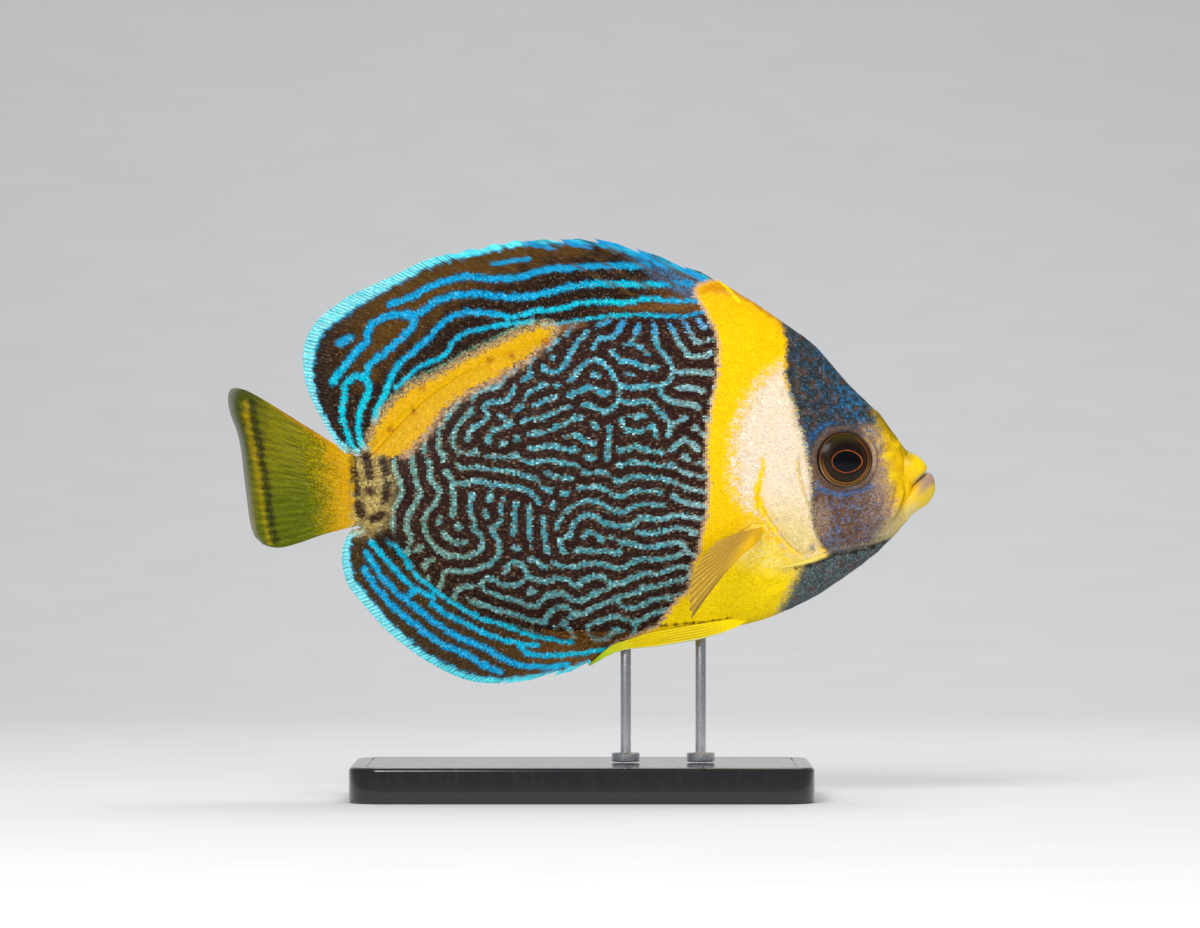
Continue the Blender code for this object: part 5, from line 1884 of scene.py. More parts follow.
def turn_out(piece: bpy.types.Object) -> None:
    """Turns a closed piece's faces outward.

    Args:
        piece: the piece.
    """
    shell = bmesh.new()
    shell.from_mesh(piece.data)
    bmesh.ops.recalc_face_normals(shell, faces=shell.faces)
    shell.to_mesh(piece.data)
    shell.free()


@dataclass
class FinForm:
    """How thick a fin is between and over its rays."""

    root: float = 0.00105
    web: float = 0.00021
    ray: float = 0.00042
    root_reach: float = 0.32
    forks: tuple[float, ...] = (0.42, 0.74)

    def half(self, phase: Array, share: Array, forked: Array) -> Array:
        """Half the thickness.

        Args:
            phase: counts rays across the fin, whole on each ray's crest.
            share: from 0 at the root to 1 at the margin.
            forked: how far the rays there branch, 0 for a spine and 1 for a soft ray.

        Returns:
            Half the thickness at each place.
        """
        one = np.cos(np.pi * phase) ** 2
        two = np.cos(2 * np.pi * phase + np.pi / 2) ** 2
        four = np.cos(4 * np.pi * phase + np.pi / 2) ** 2
        first = ramp(self.forks[0] - 0.15, self.forks[0] + 0.15, share) * forked
        second = ramp(self.forks[1] - 0.12, self.forks[1] + 0.12, share) * forked
        crest = one**5 * (1 - first) + two**3 * first * (1 - second) + four**2 * second
        full = self.web + (self.ray - self.web) * crest * (1 - 0.45 * share)
        swell = np.maximum(0.0, 1 - share / self.root_reach) ** 1.5
        return (full + (self.root - full) * swell) * (1 - 0.35 * ramp(0.9, 1.0, share))


@dataclass
class MedianFins:
    """The dorsal and the anal fin: spines in front, and soft rays that fork behind them."""

    shape: BodyShape
    markings: Markings
    coat: ScaleCoat
    scales: bpy.types.Material
    form: FinForm = field(default_factory=FinForm)
    fine_rays: int = 4  # tips of a forked ray in the margin
    soft_base: tuple[float, float] = (-16, -306)
    spine_foot: float = 5
    per_ray: int = 20
    per_rib: int = 6
    sunk: float = 7.0  # how far the roots lie inside the body, in points
    foot: float = 0.0014  # how much thicker each side is where it leaves the body
    foot_reach: float = 9.0  # how soon that thins out, in points

    def ribs(
        self, spines: Sequence[tuple], line: HeightLine, sign: int, margin: Line,
        rays: int, front: tuple[float, float, float],
    ) -> Array:
        """The fin's columns.

        Args:
            spines: each spine's root, tip and free length.
            line: the back or the belly.
            sign: 1 above the body and -1 below it.
            margin: the soft part's margin.
            rays: how many soft rays.
            front: the root and tip of the fin's first column, ahead of the first spine.

        Returns:
            Rows of root, tip along and up, count of rays and how far rays fork.
        """
        knots = [(*front, -0.5, 0.0)]
        for n, (root, tip, free) in enumerate(spines):
            end = np.array(tip, float)
            down = np.array([root, float(line(np.array(float(root))))]) - end
            held = end + down / np.linalg.norm(down) * free + (-3, 0)
            knots.append((root + self.spine_foot, end[0] + 4, end[1] - 2 * sign, n - 0.16, 0.0))
            knots.append((root, end[0], end[1], float(n), 0.0))
            knots.append((root - self.spine_foot, held[0], held[1], n + 0.16, 0.0))
            if n + 1 < len(spines):
                ahead = np.array(spines[n + 1][1], float)
                middle = (held + ahead) / 2 + (0, 3 * sign)
                knots.append(((root + spines[n + 1][0]) / 2, middle[0], middle[1], n + 0.5, 0.0))
        knots = np.array(knots)
        steps = np.linspace(0, len(knots) - 1, (len(knots) - 1) * self.per_rib + 1)
        spiny = np.stack([np.interp(steps, np.arange(len(knots)), knots[:, k]) for k in range(5)], 1)
        share = np.linspace(0, 1, rays * self.per_ray + 1)
        tips = Path(margin).at(share)
        start, end = self.soft_base
        root = start + (end - start) * share
        count = len(spines) - 0.5 + share * rays
        soft = np.stack([root, tips[:, 0], tips[:, 1], count, np.ones(len(share))], 1)
        return np.concatenate([spiny, soft])

    def build(
        self, name: str, ribs: Array, line: HeightLine, sign: int, rows: int,
        material: bpy.types.Material, slot: str, *nodes: str,
    ) -> None:
        """Builds one fin.

        Args:
            name: the piece's name.
            ribs: its columns.
            line: the back or the belly.
            sign: 1 above the body and -1 below it.
            rows: how many places up each column.
            material: its finish.
            slot: handed on to fitted and to the scales.
            nodes: the solids that it stands for.
        """
        share = np.linspace(0, 1, rows + 1)[None, :] ** 1.05
        root = np.stack([ribs[:, 0], line(ribs[:, 0]) - self.sunk * sign], 1)
        fringe = 1 + 0.004 * ribs[:, 4] * np.cos(8 * np.pi * ribs[:, 3])
        tips = root + (ribs[:, 1:3] - root) * fringe[:, None]
        flat = root[:, None] + (tips - root)[:, None] * share[..., None]
        places = self.shape.placed(flat[..., 0], flat[..., 1], 0.0)
        half = self.form.half(ribs[:, 3:4], share, ribs[:, 4:5])
        above = np.linalg.norm(tips - root, axis=1)[:, None] * share - self.sunk
        grown = half + self.foot * np.exp(-np.maximum(above, 0) / self.foot_reach)
        piece, every = sheet(name, places, grown)
        faces = every.reshape(2, *half.shape, 3)
        crest = ((half - self.form.web) / self.form.ray).clip(0, 1)
        bead = ramp(-1.0, -0.4, np.cos(2 * np.pi * self.fine_rays * ribs[:, 3:4]))
        rib = 1 - 0.55 * (1 - bead) * ramp(0.84, 0.93, share) * ribs[:, 4:5]
        shade = (0.86 + 0.3 * crest) * rib * streaks(*half.shape, 50 + rows, 0.16)
        colours = [self.markings.on(face, side) * shade[..., None] for face, side in zip(faces, Side)]
        tint(piece, np.clip(np.stack(colours).reshape(-1, 3), 0, 1))
        fitted(piece, slot, material, *nodes)
        rng = np.random.default_rng(60 + rows)
        reach = 0.58 + 0.22 * ribs[:, 4]
        for face, side in zip(faces, Side):
            bed = self.coat.on_fin(face, side, share[0], reach)
            self.coat.grow(f"{name}_scales_{side.word}", side, bed, rng, self.scales, slot)

    def build_both(self, dorsal: bpy.types.Material, anal: bpy.types.Material) -> None:
        """Builds the two fins in their finishes.

        Args:
            dorsal: the dorsal fin's finish.
            anal: the anal fin's finish.
        """
        back, belly = self.shape.back, self.shape.belly
        ribs = self.ribs(DORSAL_SPINES, back, 1, DORSAL_MARGIN, 20, (262, 247, 221))
        nodes = ("dorsal_fin_spiny", "dorsal_fin_soft")
        self.build("dorsal_fin", ribs, back, 1, 86, dorsal, "dorsal_fin", *nodes)
        ribs = self.ribs(ANAL_SPINES, belly, -1, ANAL_MARGIN, 16, (58, 46, -266))
        self.build("anal_fin_web", ribs, belly, -1, 84, anal, "anal_fin", "anal_fin")


@dataclass
class TailFin:
    """The tail fin, whose soft rays fork twice towards a clear fringe."""

    shape: BodyShape
    markings: Markings
    coat: ScaleCoat
    scales: bpy.types.Material
    scaled: float = 0.42  # how much of the fin the small scales cover
    form: FinForm = field(default_factory=lambda: FinForm(root=0.0013, forks=(0.35, 0.66)))
    rays: int = 15
    rows: int = 120
    per_ray: int = 14

    def build(self, material: bpy.types.Material) -> None:
        """Builds the fin.

        Args:
            material: its finish.
        """
        across = np.linspace(0, 1, self.rays * self.per_ray + 1)
        share = np.linspace(0, 1, self.rows + 1)
        start = self.shape.tail_root + 2.0
        top, bottom = (float(line(np.array(start))) for line in (self.shape.back, self.shape.belly))
        root = np.stack([np.full(across.shape, start), top + (bottom - top) * across], 1)
        tip = Path(TAIL_REAR).at(across)
        tip = root + (tip - root) * (1 + 0.004 * np.cos(8 * np.pi * across * self.rays))[:, None]
        flat = root[:, None] + (tip - root)[:, None] * share[None, :, None]
        edges = ((TAIL_UPPER, np.maximum(0, 1 - 3 * across)), (TAIL_LOWER, np.maximum(0, 3 * across - 2)))
        for line, weight in edges:
            bow = Path(line).at(share)
            bow -= bow[0] + (bow[-1] - bow[0]) * share[:, None]
            flat = flat + weight[:, None, None] * bow[None]
        places = self.shape.placed(flat[..., 0], flat[..., 1], 0.0)
        half = self.form.half(across[:, None] * self.rays - 0.5, share[None, :], np.ones((len(across), 1)))
        piece, every = sheet("tail_fin_web", places, half)
        faces = every.reshape(2, *half.shape, 3)
        crest = ((half - self.form.web) / self.form.ray).clip(0, 1)
        shade = (0.84 + 0.3 * crest) * streaks(*half.shape, 70, 0.14)
        colours = np.stack([self.markings.on(face, side) for face, side in zip(faces, Side)])
        colours = colours * shade[..., None]
        clear = np.broadcast_to(1 - 0.55 * ramp(0.90, 1.0, share)[:, None], (2, *half.shape, 1))
        tint(piece, np.concatenate([np.clip(colours, 0, 1), clear], -1).reshape(-1, 4))
        fitted(piece, "tail_fin", material, "tail_fin")
        rng = np.random.default_rng(71)
        for face, side in zip(faces, Side):
            bed = self.coat.on_fin(face, side, share, np.full(len(across), self.scaled))
            self.coat.grow(f"tail_scales_{side.word}", side, bed, rng, self.scales, "tail_fin")


def bent(places: Sequence[tuple[float, float]], share: Array) -> Array:
    """A curve with one bend, from its start, its bend's corner and its end.

    Args:
        places: its start, its bend's corner and its end.
        share: shares of the way, from 0 to 1.

    Returns:
        A row for each share.
    """
    a, b, c = (np.array(p, float) for p in places)
    t = share[:, None]
    return a * (1 - t) ** 2 + b * 2 * t * (1 - t) + c * t**2


@dataclass
class PairedFins:
    """The pectoral fins on the shoulder and the long pelvic fins under the belly."""

    shape: BodyShape
    upper: tuple = ((262, -92), (226, -97), (190, -112))
    lower: tuple = ((262, -104), (214, -130), (155, -220))
    bulge: tuple[float, float] = (155, -163)
    flare: dict[Side, float] = field(default_factory=lambda: {Side.RIGHT: 0.0065, Side.LEFT: 0.0080})
    cup: float = 0.0012
    rays: int = 9
    per_ray: int = 16
    rows: int = 72
    lines: int = 12  # dark lines along the rays
    tuck: float = 0.0022  # how far a fin's root dips under the skin
    pelvic_upper: tuple = (
        (226, -221), (167, -230), (132, -236), (96, -243), (68, -252), (41, -262), (12, -287),
    )
    pelvic_lower: tuple = (
        (238, -222), (222, -233), (195, -244), (167, -252), (139, -257), (110, -262), (54, -269), (10, -290),
    )
    pelvic_rays: int = 6
    pelvic_per_ray: int = 12
    pelvic_rows: int = 96

    def depth(self, u: Array, v: Array) -> Array:
        """How far the body's side lies from its middle plane."""
        inside = np.clip(v, self.shape.belly(u) + 1e-3, self.shape.back(u))
        return np.abs(self.shape.section(u, self.shape.turn_at(u, inside, Side.LEFT))[1])

    def build_pectoral(self, side: Side, material: bpy.types.Material) -> None:
        """Builds one pectoral fin.

        Args:
            side: the side.
            material: its finish.
        """
        share = np.linspace(0, 1, self.rows + 1)
        across = np.linspace(0, 1, self.rays * self.per_ray + 1)[:, None]
        top, low = bent(self.upper, share), bent(self.lower, share)
        flat = top[None] * (1 - across[..., None]) + low[None] * across[..., None]
        chord = (top[-1] + low[-1]) / 2
        belly_out = (share**2)[None] * 4 * across * (1 - across)
        flat = flat + (np.array(self.bulge) - chord) * belly_out[..., None]
        fringe = 0.012 * np.cos(2 * np.pi * across * self.rays) * ramp(0.8, 1.0, share)[None]
        flat = flat + (flat - flat[:, :1]) * fringe[..., None]
        root = flat[:, 0]
        away = self.depth(root[:, 0], root[:, 1])[:, None] + 0.0005
        away = away + self.flare[side] * np.sin(share * np.pi / 2) + self.cup * share * np.sin(np.pi * across)
        away = away - self.tuck * ramp(0.24, 0.0, share)
        places = self.shape.placed(flat[..., 0], flat[..., 1], side.value * away)
        form = FinForm(root=0.0006, web=0.00012, ray=0.00032, root_reach=0.2, forks=(0.6, 0.95))
        half = form.half(across * self.rays - 0.5, share[None], np.ones(across.shape) * 0.5)
        piece, _ = sheet(f"pectoral_{side.word}", places, half)
        crest = ramp(0.15, 0.75, (half - form.web) / (form.ray - form.web))
        near = ramp(0.66, 0.10, share[None] + 0.30 * (0.5 - across))
        web, dark = Paint(near.shape, TINTS.pectoral_tip), Paint(near.shape, TINTS.pectoral_line_tip)
        web.lay(TINTS.pectoral, near)
        dark.lay(TINTS.pectoral_line, near)
        lines = ramp(0.45, 0.95, np.cos(np.pi * self.lines * across**0.9) ** 2)
        streak = lines * (0.12 + 0.50 * ramp(0.10, 0.6, share)[None])
        # A painted shadow: a dark line along the fin's lower edge, in the rays' dark colour.
        edge = ramp(0.90, 1.0, across) * ramp(0.05, 0.3, share)[None]
        streak = np.maximum(streak, edge * 0.8)[..., None]
        colour = web.colours * (1 - streak) + dark.colours * streak
        clear = np.clip(0.40 + 0.3 * crest + 0.3 * lines + 0.7 * near + 0.4 * edge, 0, 1)
        clear = clear * ramp(0.03, 0.28, share)[None]
        rows = np.concatenate([colour, clear[..., None]], -1).reshape(-1, 4)
        tint(piece, np.concatenate([rows, rows]))
        fitted(piece, "pectoral_fin", material, f"pectoral_fin_{side.word}")

    def build_pelvic(self, side: Side, material: bpy.types.Material) -> None:
        """Builds one pelvic fin.

        Args:
            side: the side.
            material: its finish.
        """
        share = np.linspace(0, 1, self.pelvic_rows + 1)
        across = np.linspace(0, 1, self.pelvic_rays * self.pelvic_per_ray + 1)[:, None]
        top, low = Path(self.pelvic_upper).at(share), Path(self.pelvic_lower).at(share)
        flat = top[None] * (1 - across[..., None]) + low[None] * across[..., None]
        hug = self.depth(top[:, 0], np.maximum(top[:, 1], self.shape.belly(top[:, 0]) + 3)) + 0.0008
        away = np.maximum(hug, 0.0030)[None] * (1 - 0.15 * across) - self.tuck * ramp(0.16, 0.0, share)[None]
        places = self.shape.placed(flat[..., 0], flat[..., 1], side.value * away)
        form = FinForm(root=0.0006, web=0.00020, ray=0.00036, forks=(0.55, 0.85))
        half = form.half(across * self.pelvic_rays - 0.5, share[None], np.ones(across.shape) * 0.6)
        piece, _ = sheet(f"pelvic_{side.word}", places, half * (1 - 0.35 * share**3))
        crest = ((half - form.web) / (form.ray - form.web)).clip(0, 1)
        tip = ramp(0.62, 1.0, share)[None] + 0 * across
        edge = ramp(0.86, 1.0, across) * ramp(0.05, 0.3, share)[None]
        web = Paint(tip.shape, TINTS.pelvic)
        web.lay(TINTS.pelvic_tip, tip)
        web.lay(TINTS.pelvic_rim, edge)
        shade = (0.66 + 0.34 * crest) * streaks(*half.shape, 80, 0.10)
        colour = np.clip(web.colours * shade[..., None], 0, 1)
        tint(piece, np.tile(colour.reshape(-1, 3), (2, 1)))
        fitted(piece, "pelvic_fin", material, f"pelvic_fin_{side.word}")


@dataclass
class GillCovers:
    """The gill covers' plates, free along their rear edges, and the cheek spines below them."""

    shape: BodyShape
    markings: Markings
    middle: tuple[float, float] = (291, -56)
    thickness: float = 0.0004
    ranks: int = 32
    steps: int = 140
    spine_steps: int = 60
    spine_around: int = 16

    def build(self, side: Side, material: bpy.types.Material, horn: bpy.types.Material) -> None:
        """Builds one side's plate and spine.

        Args:
            side: the side.
            material: the plate's finish.
            horn: the spine's finish.
        """
        outline = Path(GILL_COVER, True).at(np.linspace(0, 1, self.steps, endpoint=False))
        share = np.linspace(0, 1, self.ranks + 1)[1:]
        centre = np.array(self.middle)
        flat = centre + (outline - centre)[None] * share[:, None, None]
        canvas = self.markings.canvas
        high = canvas.read(canvas.layers["plate"], flat[..., 0], flat[..., 1]) - 0.00009
        layers = []
        for lift in (high, high - self.thickness):
            ring = self.shape.on_side(flat[..., 0], flat[..., 1], side, lift)
            hub = self.shape.on_side(centre[:1], centre[1:], side, lift[0, :1])
            layers.append(np.concatenate([hub, ring.reshape(-1, 3)]))
        count = len(layers[0])
        rings = grid_faces(self.ranks, self.steps, closed=True) + 1
        around = np.arange(self.steps)
        after = (around + 1) % self.steps
        fan = np.stack([np.zeros_like(around), around + 1, after + 1, after + 1], 1)
        last = 1 + (self.ranks - 1) * self.steps
        rim = np.stack([last + around, last + after, last + after + count, last + around + count], 1)
        faces = np.concatenate([rings, rings[:, ::-1] + count, rim])
        triangles = np.concatenate([faces[:, :3], faces[:, [0, 2, 3]], fan[:, :3], fan[:, 2::-1] + count])
        places = np.concatenate(layers)
        piece = new_mesh(f"gill_plate_{side.word}", places, triangles)
        turn_out(piece)
        tint(piece, self.markings.on(places, side))
        fitted(piece, "gill_cover_skin", material, f"gill_cover_{side.word}")
        self.build_spine(side, horn)

    def build_spine(self, side: Side, material: bpy.types.Material) -> None:
        """Builds the spine at the cheek's lower corner, its tip free.

        Args:
            side: the side.
            material: its finish.
        """
        share = np.linspace(0, 1, self.spine_steps)
        line = Path(CHEEK_SPINE).at(share)
        core = self.shape.on_side(line[:, 0], line[:, 1], side, 0.0001 + 0.0005 * share)
        ahead = unit(np.gradient(core, axis=0))
        up = unit(np.cross(ahead, np.array([0, side.value, 0.0])))
        out = np.cross(up, ahead)
        radius = 0.0001 + 0.0008 * (1 - share) ** 0.7
        turn = circle(self.spine_around)
        ring = up[:, None] * np.cos(turn)[None, :, None] + out[:, None] * np.sin(turn)[None, :, None] * 0.7
        places = (core[:, None] + ring * radius[:, None, None]).reshape(-1, 3)
        faces = grid_faces(self.spine_steps, self.spine_around, closed=True)
        piece = new_mesh(f"cheek_spine_{side.word}", places, faces)
        turn_out(piece)
        tone = np.repeat(ramp(0.0, 0.5, share), self.spine_around)[:, None]
        tint(piece, self.markings.on(places, side) * (1 - tone) + linear(TINTS.horn) * tone)
        fitted(piece, "head_skin", material)


@dataclass
class Jaws:
    """The two jaws with their lips."""

    shape: BodyShape
    markings: Markings
    upper: tuple = (
        ((446, 8), (446, -44), 18), ((459.5, 13.5), (459.5, -44), 24.5), ((467, 11.5), (467.5, -37), 24.5),
        ((475, 7), (475, -29), 22), ((482, 1), (481.5, -22), 17.5), ((486.5, -4.5), (486, -16.5), 12),
        ((488.5, -9), (488, -13), 7),
    )
    lower: tuple = (
        ((446, -42), (446, -82), 17), ((459.5, -41), (459.5, -85), 23.5), ((467.5, -34), (468, -76), 24),
        ((475.5, -27), (478, -69), 22.5), ((483, -20.5), (488.5, -62), 19),
        ((489.5, -16.5), (495, -54), 15), ((495.5, -20), (499.3, -45), 10.5), ((499, -28), (500, -35), 5),
    )
    stations: int = 64
    around: int = 72

    def build(self, material: bpy.types.Material) -> None:
        """Builds both jaws.

        Args:
            material: their finish.
        """
        for name, rows, colour in (
            ("upper_lip", self.upper, self.upper_tint), ("lower_lip", self.lower, self.lower_tint),
        ):
            knots = np.array([(*top, *bottom, half) for top, bottom, half in rows], float)
            share = 1 - (1 - np.linspace(0, 1, self.stations)) ** 1.4
            line = Path(knots).at(share)
            turn = circle(self.around)[None]
            level = (1 + np.cos(turn)) / 2
            u = line[:, 2:3] + (line[:, 0:1] - line[:, 2:3]) * level
            v = line[:, 3:4] + (line[:, 1:2] - line[:, 3:4]) * level
            y = np.sign(np.sin(turn)) * np.abs(np.sin(turn)) ** 0.8 * line[:, 4:5] * POINT
            groove = hump(0.30, 0.16, share[:, None] + 0 * turn)
            y = y * (1 - 0.05 * groove)
            places = self.shape.placed(u, v, y).reshape(-1, 3)
            tip = places[-self.around:].mean(0)
            faces = grid_faces(self.stations, self.around, closed=True)
            triangles = np.concatenate([faces[:, :3], faces[:, [0, 2, 3]]])
            last = (self.stations - 1) * self.around
            near = np.arange(self.around)
            after = (near + 1) % self.around
            cap = np.stack([last + near, last + after, np.full(near.shape, len(places))], 1)
            piece = new_mesh(name, np.concatenate([places, [tip]]), np.concatenate([triangles, cap]))
            turn_out(piece)
            rows = colour(share[:, None] + 0 * turn, level + 0 * share[:, None]).reshape(-1, 3)
            own = np.repeat(ramp(0.30, 0.66, share), self.around)[:, None]
            rows = rows * own + self.markings.on(places, Side.RIGHT) * (1 - own)
            tint(piece, np.concatenate([rows, rows[-1:]]))
            node = name.replace("lip", "jaw")
            fitted(piece, "head_skin", material, node)

    def upper_tint(self, share: Array, level: Array) -> Array:
        """Colours of the upper lip: yellow on top, its rim grey-blue, pinkish within.

        Args:
            share: from 0 at the root to 1 at the tip.
            level: from 0 below to 1 above.

        Returns:
            A colour for each place.
        """
        lip = Paint(share.shape, TINTS.upper_lip)
        lip.lay(TINTS.upper_lip_root, ramp(0.35, 0.0, share) * 0.6)
        lip.lay(TINTS.upper_lip_rim, hump(0.10, 0.14, level) * 0.7)
        lip.lay(TINTS.upper_lip_within, ramp(0.06, 0.0, level))
        return lip.colours

    def lower_tint(self, share: Array, level: Array) -> Array:
        """Colours of the lower lip: tan below, pinkish-grey within.

        Args:
            share: from 0 at the root to 1 at the tip.
            level: from 0 below to 1 above.

        Returns:
            A colour for each place.
        """
        lip = Paint(share.shape, TINTS.lower_lip)
        lip.lay(TINTS.lower_lip_pink, ramp(0.30, 0.66, level))
        lip.lay(TINTS.lower_lip_within, ramp(0.95, 1.0, level) * ramp(0.6, 0.2, share))
        return lip.colours


@dataclass
class Eyes:
    """The eyes: a dark iris with thin orange rings round a pear-shaped pupil."""

    shape: BodyShape
    radius: float = 0.0079
    stretch: float = 1.07  # how much wider than tall the eye is, across its own plane
    depth: float = 0.0036
    proud: float = 0.0022
    rings: int = 90
    spokes: int = 128
    pupil: tuple[float, float] = (21.0, 15.0)
    pupil_centre: tuple[float, float] = (0.6, -3.4)

    def build(self, side: Side, material: bpy.types.Material) -> None:
        """Builds one eye.

        Args:
            side: the side.
            material: its finish.
        """
        centre = np.array([float(EYE_PLACE[0])]), np.array([float(EYE_PLACE[1])])
        turn = self.shape.turn_at(*centre, side)
        spot = self.shape.plain(centre[0], turn)[0]
        out = self.shape.outward(self.shape.plain, centre[0], turn)[0]
        step = self.shape.plain(centre[0] + 4, self.shape.turn_at(centre[0] + 4, centre[1], side))[0] - spot
        ahead = unit(step - out * (step @ out))
        up = np.cross(ahead, out) * side.value
        up *= np.sign(up[2])
        seat = spot + out * (self.proud - self.depth)
        polar = np.linspace(0, np.pi * 0.56, self.rings)[:, None]
        spin = circle(self.spokes)[None]
        across = np.sin(polar) * np.cos(spin) * self.stretch
        high = np.sin(polar) * np.sin(spin)
        tall = np.cos(polar) + 0 * spin
        a, b = across * self.radius / POINT, high * self.radius / POINT
        lens = self.pupil_shape(a, b)
        rise = tall * self.depth - 0.00010 * hump(1.0, 0.25, lens) + 0.00012 * ramp(1.0, 0.2, lens)
        places = seat + (ahead * (across * self.radius)[..., None] + up * (high * self.radius)[..., None]
                         + out * rise[..., None])
        flat = places.reshape(-1, 3)
        piece = new_mesh(f"eyeball_{side.word}", flat, grid_faces(self.rings, self.spokes, closed=True))
        turn_out(piece)
        tint(piece, self.painted(a, b, lens).reshape(-1, 3))
        fitted(piece, "eye", material, f"eye_{side.word}")

    def pupil_shape(self, a: Array, b: Array) -> Array:
        """How far out of the pupil a place lies, 1 at its edge, with its point forward.

        Args:
            a, b: places across the eye, forward and up from its centre, in points.

        Returns:
            The share of the way to the pupil's edge.
        """
        x, z = a - self.pupil_centre[0], b - self.pupil_centre[1]
        point = 1 + 0.14 * np.maximum(0, x / self.pupil[0])
        return np.hypot(x / self.pupil[0], z / self.pupil[1] * point)

    def painted(self, a: Array, b: Array, lens: Array) -> Array:
        """The eye's colours.

        Args:
            a, b: places across the eye, forward and up from its centre, in points.
            lens: how far out of the pupil each lies.

        Returns:
            A colour for each.
        """
        away = np.hypot(a, b)
        front = np.clip(a / 30, -1, 1)
        iris = Paint(a.shape, TINTS.iris)
        iris.lay(TINTS.iris_brown, hump(28, 7, away) * 0.6)
        iris.lay(TINTS.iris_olive, ramp(20, 34, b) * hump(32, 9, away) * 0.7)
        iris.lay(TINTS.iris_low_ring, hump(34, 2.0, away) * ramp(8, -22, b) * 0.8)
        iris.lay(TINTS.iris_rim, hump(37.4, 1.4, away) * ramp(6, -20, b) * 0.8)
        iris.lay(TINTS.iris_front_ring, hump(33, 1.3, away) * ramp(0.3, 0.8, front) * 0.8)
        iris.lay(TINTS.iris_outer_ring, hump(37, 2.0, away) * 0.7)
        ring = hump(1.05, 0.038, lens)
        iris.lay(TINTS.pupil_ring, ring * (0.55 + 0.40 * ramp(-0.8, 0.8, front)))
        iris.lay(TINTS.pupil, ramp(1.03, 0.98, lens))
        return iris.colours


